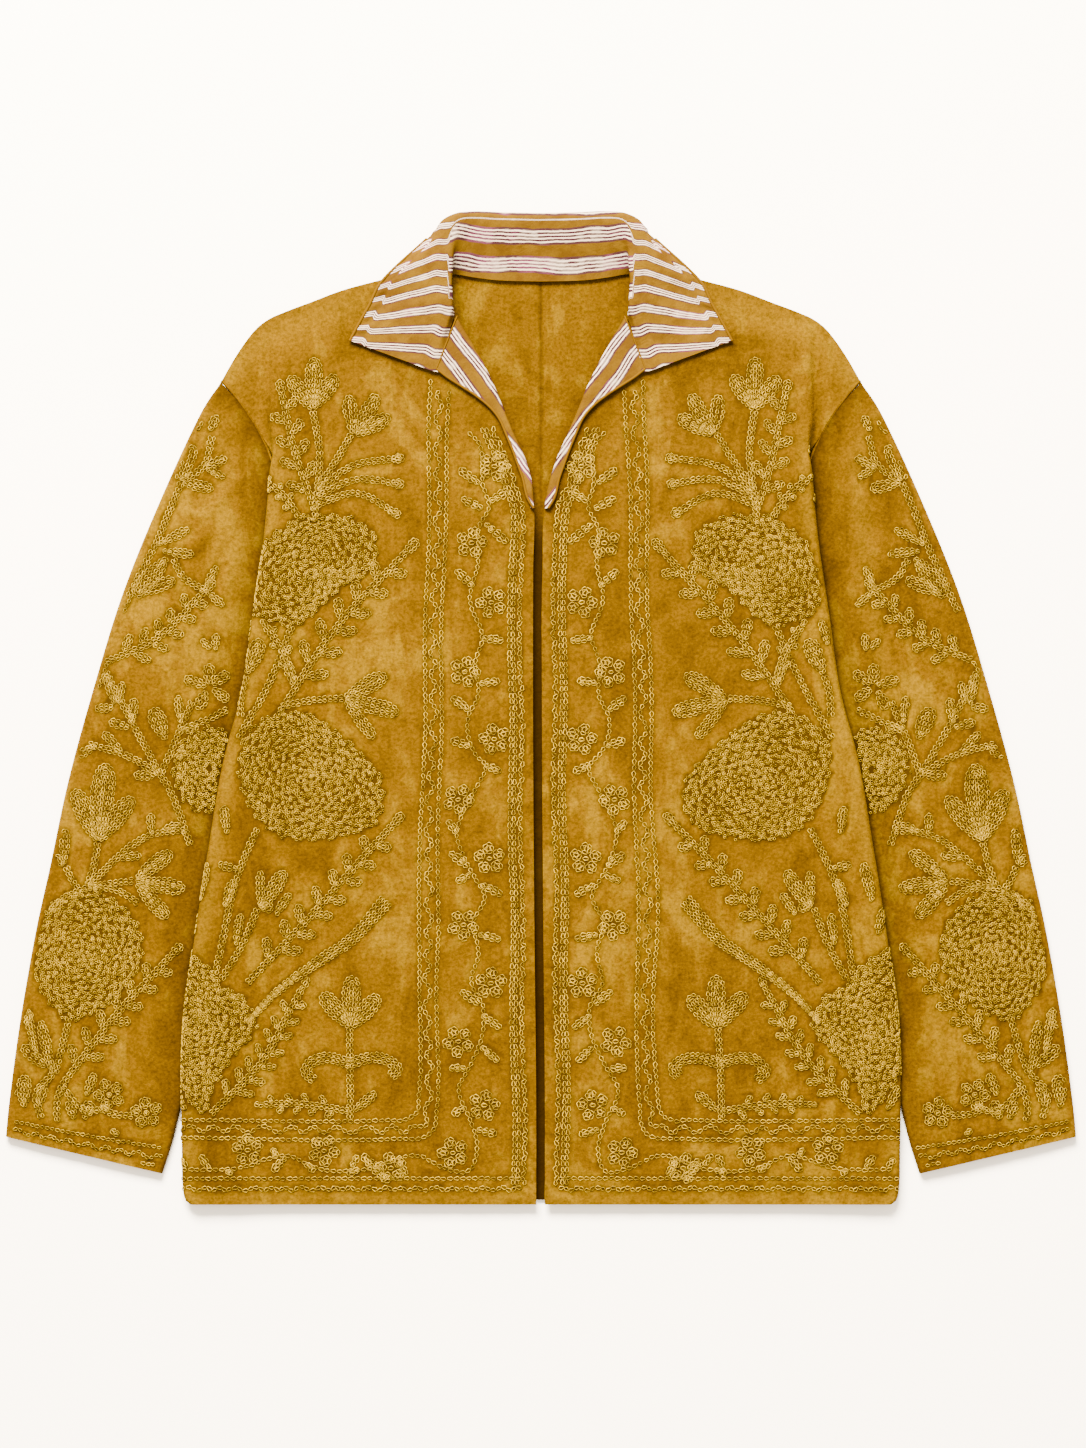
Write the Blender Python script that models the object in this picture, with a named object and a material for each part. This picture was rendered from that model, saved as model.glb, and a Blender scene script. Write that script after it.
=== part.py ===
"""Velvet jacket laid flat on its back, fronts open and sleeves folded down beside the body.

Metres, +Z up. The origin is under the middle of the jacket, on the surface that it lies on, and +Y points
to the collar. Each cloth piece is one closed wall: its outer face is worked out from the tables below, and
its inner face is the same face moved in by the cloth's thickness. Left and right are the wearer's, so the
left side is at +X.
"""

import math

import bpy
import numpy as np

MM = 0.001

WALL = 2.5 * MM  # velvet and its backing cotton
SEAM = 0.3 * MM  # gap between two pieces that are sewn together
HEM_Y = -361.0 * MM
BACK_HEM_Y = -358.0 * MM
SHOULDER_Z = 5.6 * MM  # top of the front where it meets the back at the shoulder
FRONT_Z = 8.0 * MM  # top of the front near the centre edges
PANEL_PUFF = 1.4 * MM  # how far the middle of a front lies above its edges
LAPEL_INSET = 4.6 * MM  # the front's own edge lies this far inside the rolled edge of its lapel
SLEEVE_EDGE_RADIUS = 3.2 * MM  # the folded edges of a sleeve
SLEEVE_CLEAR = 0.5 * MM  # the sleeve's first edge lies this far from the armhole
ARMHOLE_BOW = 17.0 * MM  # how far the armhole curves in from a straight line
RETURN_OVERLAP = 3.5 * MM  # the side of a front ends this far past the sleeve that it covers

VELVET = (0.50, 0.29, 0.03, 1.0)
STRIPED_COTTON = (0.62, 0.42, 0.16, 1.0)


def table(names, *rows):
    """Columns by name, in metres; a name that ends in _deg is read in radians."""
    columns = {}
    for name, values in zip(names.split(), zip(*rows)):
        unit = math.pi / 180 if name.endswith("_deg") else MM
        columns[name] = np.array(values, float) * unit
    return columns


# The free edge of a front and the rolled edge of its lapel: half the gap at each height, and how far the
# middle of the gap lies from the middle of the jacket.
CENTRE_EDGE = table(
    "y half_gap shift",
    (-360, 3.2, -0.3),
    (-290, 3.2, -0.3),
    (-150, 3.3, -1.6),
    (0, 3.3, -2.5),
    (100, 3.4, -2.3),
    (152, 4.9, -1.0),
    (178, 7.3, 0.0),
    (199, 13.1, 0.0),
    (226, 24.8, 0.0),
    (248, 38.7, 0.0),
    (265, 46.7, 0.0),
    (280, 54.8, 0.0),
    (294, 61.3, 0.0),
    (327, 64.2, 0.0),
)

# The side of a front: where its edge folds over, how high that fold stands, and the level below it.
SIDE_FOLD = table(
    "y fold_x fold_z low_z",
    (-360, 260.5, 9.6, 2.9),
    (-325, 261.6, 10.2, 2.9),
    (-300, 261.8, 11.6, 4.8),
    (-285, 261.8, 12.6, 6.4),
    (-270, 261.8, 13.4, 7.0),
    (-227, 260.2, 14.8, 7.0),
    (-160, 251.1, 15.6, 7.0),
    (-99, 241.6, 16.0, 7.0),
    (-33, 230.0, 16.0, 7.0),
    (8, 219.0, 16.0, 7.0),
    (68, 209.9, 16.0, 7.0),
    (127, 201.5, 16.0, 7.0),
    (181, 197.1, 15.4, 6.9),
    (208, 196.2, 14.2, 6.6),
    (233, 195.0, 12.2, 6.4),
    (262, 194.0, 9.4, 6.0),
    (285, 195.0, 6.4, 5.6),
)

SHOULDER = table(
    "x y",
    (64, 326.5),
    (91, 319.7),
    (115, 313.2),
    (147, 304.4),
    (168, 296.4),
    (188, 288.8),
    (198, 284.3),
    (208, 276.7),
    (215, 268.0),
    (224, 254.5),
    (232.5, 239.4),
)

BACK_NECK = table(
    "x y",
    (0, 312.4),
    (30, 313.2),
    (48, 316.0),
    (60, 321.0),
    (68, 325.6),
)

# A sleeve, from the armhole to the cuff: its folded outer edge and the edge tucked under the body.
SLEEVE = table(
    "outer_x outer_y inner_x inner_y puff",
    (232.5, 239.4, 191.3, 108.8, 0.4),
    (249.0, 213.9, 194.2, 92.0, 1.2),
    (277.4, 152.6, 201.5, 50.4, 2.4),
    (305.1, 84.0, 211.0, -3.7, 2.4),
    (326.3, 15.3, 221.9, -65.7, 2.4),
    (344.6, -51.8, 232.1, -124.8, 2.4),
    (357.7, -113.2, 241.6, -177.4, 2.4),
    (368.7, -163.5, 248.9, -219.7, 2.4),
    (380.0, -228.5, 257.4, -265.7, 2.2),
    (387.6, -284.7, 267.5, -311.0, 1.4),
    (390.3, -311.7, 276.0, -338.7, 0.8),
)

# Cross-sections of half the collar, from the centre back to the front of the wing. Each starts at the neck
# seam, climbs at an angle of lean, rolls over at the fold in the direction of turn, and ends at the free
# edge, which it reaches from outside where reach is positive and from inside where it is negative.
COLLAR = table(
    "neck_x neck_y neck_z lean_deg fold_x fold_y fold_z turn_deg rise edge_x edge_y edge_z reach",
    (0, 309.5, 5.4, 8, 0, 356.2, 16, 90, 0, 0, 321.0, 0, 44),
    (29, 311.0, 5.4, 8, 29, 356.8, 16, 90, 0, 29, 321.6, 0, 44),
    (46, 315.0, 5.4, 10, 46, 357.6, 17, 84, 0, 47, 328.5, 0, 36),
    (54.5, 319.5, 5.2, 25, 56, 356.8, 19, 66, 1, 60, 341.5, 0.4, 20),
    (58.5, 321.0, 4.6, 45, 62, 352.0, 20, 38, 8, 72, 350.0, 4.0, 6),
    (59.5, 318.0, 3.6, 65, 64.4, 343.4, 20, 8, 8, 90, 336.0, 9.0, -7),
    (59.6, 312.5, 3.0, 80, 65.0, 330.0, 20, -14, 4, 115.3, 311.7, 12.0, -18),
    (59.0, 301.5, 3.0, 85, 64.4, 311.0, 19.6, -17, 0, 124.5, 294.5, 11.6, -22),
    (57.6, 290.5, 3.2, 85, 62.4, 297.0, 19.0, -15, 0, 131.0, 283.0, 11.4, -24),
    (57.4, 283.4, 10.8, 60, 61.6, 285.6, 17.0, -10, 0, 134.5, 276.6, 11.3, -24),
    (64.0, 265.0, 11.0, 20, 70.0, 267.0, 13.2, 4, 0, 137.0, 272.0, 11.2, -22),
    (71.2, 241.8, 10.9, 4, 79.0, 244.6, 11.4, 20, 0, 139.0, 268.0, 11.1, -22),
)

# The turned-back lapel, from its lowest point up to the gorge seam: rolled edge and free edge.
LAPEL = table(
    "roll_x roll_y edge_x edge_y",
    (6.4, 166.0, 10.6, 166.6),
    (7.4, 178.0, 11.9, 179.6),
    (10.2, 188.3, 15.4, 190.6),
    (13.1, 199.0, 20.0, 202.5),
    (19.0, 214.0, 27.0, 213.2),
    (24.8, 226.0, 36.0, 224.2),
    (32.1, 237.0, 44.6, 229.4),
    (38.7, 248.4, 53.4, 234.4),
    (46.7, 265.0, 60.8, 237.8),
    (52.0, 275.0, 66.0, 239.6),
    (55.6, 280.2, 69.8, 240.6),
)

# Large soft folds: place, direction, half length, half width and height of each (a trough is negative).
FRONT_FOLDS = table(
    "x y heading_deg length width height",
    (178, 168, 62, 46, 9, 1.6),
    (160, 150, 70, 52, 8, -1.3),
    (188, 20, 84, 80, 10, -1.8),
    (206, -120, 98, 70, 11, 1.5),
    (120, -320, 4, 70, 9, -1.0),
    (60, 60, 88, 120, 10, -0.9),
)
SLEEVE_FOLDS = table(
    "x y heading_deg length width height",
    (262, 96, -62, 60, 9, 1.6),
    (252, 30, -66, 70, 10, -1.4),
    (300, -40, -30, 38, 9, 1.4),
    (290, -150, -72, 60, 11, -1.3),
)

PANEL_STEPS = 11
ROLL_STEPS = 6
RETURN_STEPS = 4
FRONT_ROWS = 27
BACK_STEPS = 7
BACK_ROWS = 26
SLEEVE_STEPS = 12
SLEEVE_EDGE_STEPS = 4
SLEEVE_ROWS = 18
COLLAR_STEPS = 13
COLLAR_ROWS = 22  # in each half
LAPEL_STEPS = 7
LAPEL_ROWS = 14


def ease(t):
    """Smooth step from 0 to 1."""
    t = np.clip(t, 0.0, 1.0)
    return t * t * (3.0 - 2.0 * t)


def mix(a, b, t):
    return a + (b - a) * t


def smooth(at, knots, values):
    """Smooth curve through the values: cubic pieces that keep one slope at each knot."""
    at = np.clip(at, knots[0], knots[-1])
    slope = np.gradient(values, knots)
    i = np.clip(np.searchsorted(knots, at) - 1, 0, len(knots) - 2)
    step = knots[i + 1] - knots[i]
    t = (at - knots[i]) / step
    rise = values[i + 1] - values[i]
    start, end = slope[i] * step, slope[i + 1] * step
    return values[i] + t * (start + t * ((3 * rise - 2 * start - end) + t * (start + end - 2 * rise)))


def along_rows(rows, at):
    """Every column of a table read at a share of the way from its first row to its last."""
    knots = np.linspace(0.0, 1.0, len(next(iter(rows.values()))))
    return {name: smooth(at, knots, values) for name, values in rows.items()}


def bezier(a, b, c, d, t):
    s = 1.0 - t
    return s**3 * a + 3 * s * s * t * b + 3 * s * t * t * c + t**3 * d


def fold_height(folds, x, y):
    """Sum of soft ridges and troughs, each a rounded bar that fades out at its ends."""
    total = np.zeros(np.broadcast(x, y).shape)
    for i in range(len(folds["x"])):
        heading = folds["heading_deg"][i]
        dx, dy = x - folds["x"][i], y - folds["y"][i]
        ahead = (dx * math.cos(heading) + dy * math.sin(heading)) / folds["length"][i]
        beside = (dy * math.cos(heading) - dx * math.sin(heading)) / folds["width"][i]
        total = total + folds["height"][i] * np.exp(-beside * beside) * ease(1.0 - np.abs(ahead))
    return total


def armhole_points(count):
    """The armhole from the shoulder point down to the underarm: a straight line bowed towards the body."""
    t = np.linspace(0.0, 1.0, count)
    top = np.array((SLEEVE["outer_x"][0], SLEEVE["outer_y"][0]))
    foot = np.array((SLEEVE["inner_x"][0], SLEEVE["inner_y"][0]))
    run = (foot - top) / np.linalg.norm(foot - top)
    bow = 4.0 * t * (1.0 - t) * ARMHOLE_BOW
    return (top + t[:, None] * (foot - top) + bow[:, None] * np.array((run[1], -run[0]))).T


def sleeve_side_x(y):
    """The sleeve's edge beside the back: the armhole, and below the underarm the tucked inner edge."""
    arm_x, arm_y = armhole_points(40)
    tucked = along_rows(SLEEVE, np.linspace(0.0, 1.0, 80)[1:])
    all_x, all_y = np.concatenate([arm_x, tucked["inner_x"]]), np.concatenate([arm_y, tucked["inner_y"]])
    return np.interp(y, all_y[::-1], all_x[::-1])


def side_fold(y):
    return {name: smooth(y, SIDE_FOLD["y"], SIDE_FOLD[name]) for name in ("fold_x", "fold_z", "low_z")}


def front_edge_x(side, y):
    """The front's own free edge, which lies inside the rolled edge where the lapel turns back."""
    gap = smooth(y, CENTRE_EDGE["y"], CENTRE_EDGE["half_gap"])
    shift = smooth(y, CENTRE_EDGE["y"], CENTRE_EDGE["shift"])
    inset = LAPEL_INSET * ease((y - 146 * MM) / (20 * MM))
    return gap + side * shift + inset


def front_section(side, across, y):
    """Place and height of a front's outer face.

    across runs 0 to 1 over the panel from the centre edge to the side fold, 1 to 2 round that fold, and
    2 to 3 along what follows. Above the underarm that is a valley running out to the armhole. Below it the
    cloth turns back under itself, over the tucked edge of the sleeve, and down to the side seam.
    """
    fold = side_fold(y)
    fold_x, fold_z, low_z = fold["fold_x"], fold["fold_z"], fold["low_z"]
    radius = (fold_z - low_z) / 2.0
    under = ease((200 * MM - y) / (35 * MM))
    joins_back = ease((118 * MM - y) / (32 * MM))
    armhole = sleeve_side_x(y)
    tuck = fold_x - armhole

    valley_end = np.maximum(armhole - fold_x - SEAM / 2, 1.0 * MM)
    valley_start = np.minimum(8.0 * MM, 0.6 * valley_end)
    roll_end = mix(valley_start, -radius, under)
    run_mid = mix((valley_start + valley_end) / 2, -np.maximum(tuck - 2.5 * MM, radius + 0.8 * MM), under)
    run_end = mix(
        valley_end,
        -np.maximum(tuck + RETURN_OVERLAP * joins_back, radius + 2.4 * MM),
        under,
    )
    seam_z = mix(low_z, mix(low_z, 2.9 * MM, joins_back), under)
    turn = -math.pi * under
    grip = mix(0.55 * (valley_start + radius), 4.0 / 3.0 * radius, under)

    panel = np.clip(across, 0.0, 1.0)
    roll = np.clip(across - 1.0, 0.0, 1.0)
    run = np.clip(across - 2.0, 0.0, 1.0)
    start_x = front_edge_x(side, y)
    panel_x = mix(start_x, fold_x - radius, panel)
    puff = PANEL_PUFF * ease(panel / 0.3) * ease((200 * MM - y) / (60 * MM)) * ease((y - HEM_Y) / (50 * MM))
    flat_z = np.minimum(FRONT_Z, fold_z) + puff
    panel_z = mix(flat_z, fold_z, ease((panel - 0.68) / 0.32))
    panel_z = panel_z + fold_height(FRONT_FOLDS, panel_x, y) * ease(panel / 0.1) * ease((1 - panel) / 0.08)

    roll_x = bezier(fold_x - radius, fold_x - radius + grip, fold_x + roll_end - grip * np.cos(turn),
                    fold_x + roll_end, roll)
    roll_z = bezier(fold_z, fold_z, low_z - grip * np.sin(turn), low_z, roll)
    half = np.clip(run * 2.0, 0.0, 1.0)
    rest = np.clip(run * 2.0 - 1.0, 0.0, 1.0)
    run_x = fold_x + mix(mix(roll_end, run_mid, half), run_end, rest)
    run_z = mix(low_z, seam_z, rest * rest)

    x = np.where(across <= 1.0, panel_x, np.where(across <= 2.0, roll_x, run_x))
    z = np.where(across <= 1.0, panel_z, np.where(across <= 2.0, roll_z, run_z))
    return x, z


def front_outer(side, across, rise):
    """Grid of points on a front's outer face, from the hem (rise 0) to the shoulder (rise 1)."""
    top = np.full(across.shape, 280 * MM)
    for _ in range(30):
        x, _z = front_section(side, across, top)
        top = mix(top, smooth(x, SHOULDER["x"], SHOULDER["y"]), 0.6)
    y = mix(HEM_Y, top[None, :], rise[:, None])
    x, z = front_section(side, across[None, :] + 0.0 * y, y)
    low = np.minimum(z, SHOULDER_Z)
    z = mix(low, z, ease((top[None, :] - y) / (26 * MM)))
    return np.stack([side * x, y, z], axis=-1)


def back_outer(side, across, rise):
    """Grid of points on the inner face of half the back, which lies flat with that face up."""
    def side_x(y):
        beside_sleeve = sleeve_side_x(y) - 1.0 * MM
        return np.where(y < 0.0, np.minimum(beside_sleeve, side_fold(y)["fold_x"] - 3.0 * MM), beside_sleeve)

    def place_x(y):
        return mix(SEAM / 2, side_x(y), across)

    top = np.full(across.shape, 280 * MM)
    for _ in range(30):
        x = place_x(top)
        neck = smooth(x, BACK_NECK["x"], BACK_NECK["y"])
        shoulder = smooth(x, SHOULDER["x"], SHOULDER["y"])
        top = mix(top, np.where(x < BACK_NECK["x"][-1], neck, shoulder), 0.6)
    y = mix(BACK_HEM_Y, top[None, :], rise[:, None])
    x = mix(SEAM / 2, side_x(y), across[None, :])
    return np.stack([side * x, y, np.full(y.shape, WALL)], axis=-1)


def sleeve_loop(depth):
    """Once round a flattened sleeve: share of the way across, distance in from the folded edge, and level.

    depth is how far inside the outer face the loop lies. The level is 1 on the upper layer, -1 on the layer
    that rests, and between them round the two folded edges.
    """
    flat = np.linspace(0.0, 1.0, SLEEVE_STEPS + 1)
    bend = np.linspace(-math.pi / 2, math.pi / 2, SLEEVE_EDGE_STEPS + 1)[1:-1]
    share = np.concatenate([flat, np.ones(len(bend)), flat[::-1], np.zeros(len(bend))])
    level = np.concatenate([np.ones(len(flat)), -np.sin(bend), -np.ones(len(flat)), np.sin(bend)])
    reach = np.concatenate([np.zeros(len(flat)), np.cos(bend), np.zeros(len(flat)), np.cos(bend)])
    return share, level, reach * (SLEEVE_EDGE_RADIUS - depth)


def sleeve_face(side, depth):
    """Grid of loops down a sleeve, at a depth inside its outer face."""
    share, level, reach = sleeve_loop(depth)
    at = along_rows(SLEEVE, np.linspace(0.0, 1.0, SLEEVE_ROWS + 1)[:, None])
    down = np.linspace(0.0, 1.0, SLEEVE_ROWS + 1)[:, None]
    wide_x, wide_y = at["outer_x"] - at["inner_x"], at["outer_y"] - at["inner_y"]
    width = np.hypot(wide_x, wide_y)
    unit_x, unit_y = wide_x / width, wide_y / width
    inside = mix(SLEEVE_EDGE_RADIUS, width - SLEEVE_EDGE_RADIUS, share[None, :])
    outwards = np.where(share > 0.5, 1.0, -1.0)[None, :]
    place = inside + outwards * reach[None, :]
    bow = ARMHOLE_BOW * 4.0 * share * (1.0 - share) * (1.0 - ease(down / 0.22))
    x = at["inner_x"] + unit_x * place - unit_y * bow
    y = at["inner_y"] + unit_y * place + unit_x * bow
    clear = SLEEVE_CLEAR * np.where(down == 0.0, 1.0, 0.0)
    x, y = x + clear * unit_y, y - clear * unit_x
    beside_body = x - np.maximum(side_fold(y)["fold_x"], sleeve_side_x(y))
    crown = at["puff"] + fold_height(SLEEVE_FOLDS, x, y)
    crown = crown * ease((beside_body - 1 * MM) / (30 * MM)) * ease((width - place) / (28 * MM))
    low = depth
    high = 2.0 * SLEEVE_EDGE_RADIUS - depth + crown
    z = mix(low, high, (level[None, :] + 1.0) / 2.0)
    return np.stack([side * x, y, z], axis=-1)


def collar_section(at, t):
    """Striped face of the collar at the rows read in at: t runs 0 to 1 up the stand and 1 to 2 down the fall."""
    neck = np.stack([at["neck_x"], at["neck_y"], at["neck_z"]], axis=-1)
    fold = np.stack([at["fold_x"], at["fold_y"], at["fold_z"]], axis=-1)
    edge = np.stack([at["edge_x"], at["edge_y"], at["edge_z"]], axis=-1)
    turn = at["turn_deg"]
    out = np.stack([np.cos(turn), np.sin(turn), np.zeros_like(turn)], axis=-1)
    up = np.array((0.0, 0.0, 1.0))
    stand = np.linalg.norm(fold - neck, axis=-1, keepdims=True)
    heading = (fold - neck) * np.array((1.0, 1.0, 0.0))
    heading = heading / np.linalg.norm(heading, axis=-1, keepdims=True)
    lean = at["lean_deg"][..., None]
    climb = heading * np.cos(lean) + up * np.sin(lean)
    grip = np.clip(0.35 * stand, 2.0 * MM, 9.0 * MM)
    first, last = np.clip(t, 0.0, 1.0)[..., None], np.clip(t - 1.0, 0.0, 1.0)[..., None]
    lower = bezier(neck, neck + 0.38 * stand * climb, fold - grip * out, fold, first)
    upper = bezier(fold, fold + grip * out, edge + at["reach"][..., None] * out + at["rise"][..., None] * up,
                   edge, last)
    return np.where(t[..., None] <= 1.0, lower, upper)


def collar_outer():
    """Grid over the whole collar, from the wearer's right wing round the back of the neck to the left one."""
    half = np.linspace(0.0, 1.0, COLLAR_ROWS + 1)
    share = np.concatenate([half[::-1], half[1:]])
    side = np.concatenate([-np.ones(COLLAR_ROWS), np.ones(COLLAR_ROWS + 1)])
    stand = np.linspace(0.0, 1.0, COLLAR_STEPS // 3 + 2)
    fall = np.linspace(1.0, 2.0, COLLAR_STEPS - COLLAR_STEPS // 3)
    t = np.concatenate([stand, fall[1:]])
    at = along_rows(COLLAR, share[:, None] + 0.0 * t[None, :])
    points = collar_section(at, t[None, :] + 0.0 * share[:, None])
    return points * np.stack([side, np.ones_like(side), np.ones_like(side)], axis=-1)[:, None, :]


def lapel_outer(side, across, rise):
    """Striped face of a turned-back lapel: up round the rolled edge, then out over the front to its free edge."""
    at = along_rows(LAPEL, rise[:, None] + 0.0 * across[None, :])
    shift = smooth(at["roll_y"], CENTRE_EDGE["y"], CENTRE_EDGE["shift"])
    roll = np.stack([at["roll_x"] + side * shift, at["roll_y"]], axis=-1)
    edge = np.stack([at["edge_x"], at["edge_y"]], axis=-1)
    run = edge - roll
    width = np.linalg.norm(run, axis=-1, keepdims=True)
    out = run / width
    top = FRONT_Z + SEAM + WALL
    radius = np.minimum(3.2 * MM, 0.45 * width[..., 0])
    height = top + 1.2 * MM * ease((width[..., 0] - 6 * MM) / (10 * MM))
    wall_part = np.clip(across / 0.3, 0.0, 1.0)
    bend = np.clip((across - 0.3) / 0.35, 0.0, 1.0) * math.pi / 2
    flat = np.clip((across - 0.65) / 0.35, 0.0, 1.0)
    reach = radius * (1.0 - np.cos(bend)) + (width[..., 0] - radius) * flat
    z = mix(3.0 * MM, height - radius, wall_part) + radius * np.sin(bend)
    z = mix(z, top, ease(flat))
    plan = roll + out * reach[..., None]
    return np.stack([side * plan[..., 0], plan[..., 1], z], axis=-1)


def grid_normals(points, closed=False):
    """Unit normals of a grid, from the directions along its rows and its columns."""
    if closed:
        wrapped = np.concatenate([points[:, -1:], points, points[:, :1]], axis=1)
        across = (wrapped[:, 2:] - wrapped[:, :-2]) / 2.0
    else:
        across = np.gradient(points, axis=1)
    along = np.gradient(points, axis=0)
    normal = np.cross(across, along)
    return normal / np.linalg.norm(normal, axis=-1, keepdims=True)


def wall_faces(rows, columns, closed=False):
    """Faces of a wall whose outer grid is followed by its inner one: both faces and the rim between them."""
    index = np.arange(rows * columns).reshape(rows, columns)
    if closed:
        index = np.concatenate([index, index[:, :1]], axis=1)
    inner = index + rows * columns
    outer = np.stack([index[:-1, :-1], index[:-1, 1:], index[1:, 1:], index[1:, :-1]], axis=-1)
    behind = np.stack([inner[:-1, :-1], inner[1:, :-1], inner[1:, 1:], inner[:-1, 1:]], axis=-1)
    loops = [(index[0], inner[0], 1), (index[-1], inner[-1], -1)]
    if not closed:
        loops += [(index[:, 0], inner[:, 0], -1), (index[:, -1], inner[:, -1], 1)]
    faces = [outer.reshape(-1, 4), behind.reshape(-1, 4)]
    for top, bottom, way in loops:
        rim = np.stack([top[:-1], bottom[:-1], bottom[1:], top[1:]], axis=-1)
        faces.append(rim if way > 0 else rim[:, ::-1])
    return np.concatenate(faces)


def material(name, colour, roughness):
    made = bpy.data.materials.new(name)
    made.use_nodes = True
    shader = made.node_tree.nodes["Principled BSDF"]
    shader.inputs["Base Color"].default_value = colour
    shader.inputs["Roughness"].default_value = roughness
    shader.inputs["Metallic"].default_value = 0.0
    return made


def add_wall(name, outer, inner, colour, closed=False):
    """One closed solid from an outer and an inner grid of the same size."""
    rows, columns = outer.shape[:2]
    points = np.concatenate([outer.reshape(-1, 3), inner.reshape(-1, 3)])
    faces = wall_faces(rows, columns, closed)
    corners = points[faces]
    volume = np.einsum(
        "ij,ij->i",
        np.cross(corners[:, 0], corners[:, 1]) + np.cross(corners[:, 2], corners[:, 3])
        + np.cross(corners[:, 1], corners[:, 2]) + np.cross(corners[:, 3], corners[:, 0]),
        corners.mean(axis=1),
    ).sum()
    if volume < 0:
        faces = faces[:, ::-1]
    mesh = bpy.data.meshes.new(name)
    mesh.from_pydata(points.tolist(), [], faces.tolist())
    mesh.materials.append(material(name + "_cloth", colour, 0.85))
    mesh.shade_smooth()
    mesh.set_sharp_from_angle(angle=math.radians(50))
    piece = bpy.data.objects.new(name, mesh)
    bpy.context.collection.objects.link(piece)
    return piece


def build_front(name, side):
    across = np.concatenate([
        np.linspace(0.0, 1.0, PANEL_STEPS + 1),
        np.linspace(1.0, 2.0, ROLL_STEPS + 1)[1:],
        np.linspace(2.0, 3.0, RETURN_STEPS + 1)[1:],
    ])
    rise = np.linspace(0.0, 1.0, FRONT_ROWS + 1)
    outer = front_outer(side, across, rise)
    inner = outer - side * WALL * grid_normals(outer)
    return add_wall(name, outer, inner, VELVET)


def build_back(name, side):
    upper = back_outer(side, np.linspace(0.0, 1.0, BACK_STEPS + 1), np.linspace(0.0, 1.0, BACK_ROWS + 1))
    lower = upper * np.array((1.0, 1.0, 0.0))
    return add_wall(name, upper, lower, VELVET)


def build_sleeve(name, side):
    return add_wall(name, sleeve_face(side, 0.0), sleeve_face(side, WALL), VELVET, closed=True)


def build_collar(name):
    outer = collar_outer()
    inner = outer + WALL * grid_normals(outer)
    return add_wall(name, outer, inner, STRIPED_COTTON)


def build_facing(name, side):
    across = np.linspace(0.0, 1.0, LAPEL_STEPS * 2 + 1)
    outer = lapel_outer(side, across, np.linspace(0.0, 1.0, LAPEL_ROWS + 1))
    inner = outer - side * WALL * grid_normals(outer)
    return add_wall(name, outer, inner, STRIPED_COTTON)


def main():
    for old in list(bpy.data.objects):
        bpy.data.objects.remove(old)
    for word, side in (("left", 1.0), ("right", -1.0)):
        build_back("back_" + word, side)
        build_front("front_" + word, side)
        build_sleeve("sleeve_" + word, side)
        build_facing("facing_" + word, side)
    build_collar("collar")


main()
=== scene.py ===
"""Looks of an embroidered velvet jacket laid flat on its back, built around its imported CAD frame.

Metres, +Z up. The origin is under the middle of the jacket, on the surface that it lies on, and +Y points
to the collar. Left and right are the wearer's, so the left side is at +X. Each cloth piece is one closed
wall close to its CAD solid, on a finer grid and with creases added. The neck and the lapels were measured
again, and differ from the solids by a few millimetres. The embroidery is chain stitch: every link is a
small ring of thread lying on the cloth.
"""

import math

import bpy
import numpy as np
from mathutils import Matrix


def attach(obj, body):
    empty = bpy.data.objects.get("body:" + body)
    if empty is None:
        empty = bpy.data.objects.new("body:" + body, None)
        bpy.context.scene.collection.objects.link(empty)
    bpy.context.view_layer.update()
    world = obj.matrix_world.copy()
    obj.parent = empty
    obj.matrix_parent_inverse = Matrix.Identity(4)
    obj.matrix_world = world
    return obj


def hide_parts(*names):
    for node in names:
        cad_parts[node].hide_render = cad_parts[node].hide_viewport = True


bl_info = {
    "name": "Velvet jacket",
    "version": (1, 0, 0),
    "blender": (4, 5, 0),
    "location": "3D View > Sidebar > Jacket",
    "description": "Builds the looks of an embroidered velvet jacket laid flat",
    "category": "Object",
}

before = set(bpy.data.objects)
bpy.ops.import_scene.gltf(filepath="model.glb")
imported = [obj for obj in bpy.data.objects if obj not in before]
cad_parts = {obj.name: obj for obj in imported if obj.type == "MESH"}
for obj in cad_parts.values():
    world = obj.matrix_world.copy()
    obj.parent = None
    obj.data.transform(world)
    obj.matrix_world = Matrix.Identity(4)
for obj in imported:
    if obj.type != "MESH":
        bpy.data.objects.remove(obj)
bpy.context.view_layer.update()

MM = 0.001

WALL = 2.5 * MM  # velvet and its backing cotton
SEAM = 0.3 * MM  # gap between two pieces at a seam
HEM_Y = -361.0 * MM
BACK_HEM_Y = -358.0 * MM
SHOULDER_Z = 5.6 * MM  # height of a front along its shoulder seam
FRONT_Z = 8.0 * MM  # height of a front where it lies flat
PANEL_PUFF = 1.4 * MM  # how far a front swells above that
LAPEL_INSET = 4.6 * MM  # how far a front's own edge lies inside the rolled edge of the lapel
SLEEVE_EDGE_RADIUS = 3.2 * MM  # bend of a sleeve's folded edges
SLEEVE_CLEAR = 0.5 * MM  # gap between a sleeve's top and the armhole
ARMHOLE_BOW = 17.0 * MM  # how far the armhole bows towards the body
RETURN_OVERLAP = 3.5 * MM  # how far a front's turned-under side reaches past the sleeve's tucked edge

# In the broad flower heads the links lie at odds with each other, closer together and smaller.
KNOTTED = 0.52  # spread of their headings, in radians
HEAD_ROW = 0.72
HEAD_PITCH = 0.74
HEAD_LINK = 0.80
BORDER_LINK = 1.18  # size of the links in the borders and the edging

SIDES = (("left", 1.0), ("right", -1.0))

# Colours that go with the striped cotton: its run dye, its stains, the light part of its ground, its binding.
RUN_DYE = (0.060, 0.013, 0.022)
STAIN = (0.045, 0.009, 0.012)
GROUND_LIGHT = (0.0640, 0.0290, 0.0)
BINDING = (0.0540, 0.0230, 0.0)


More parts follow.
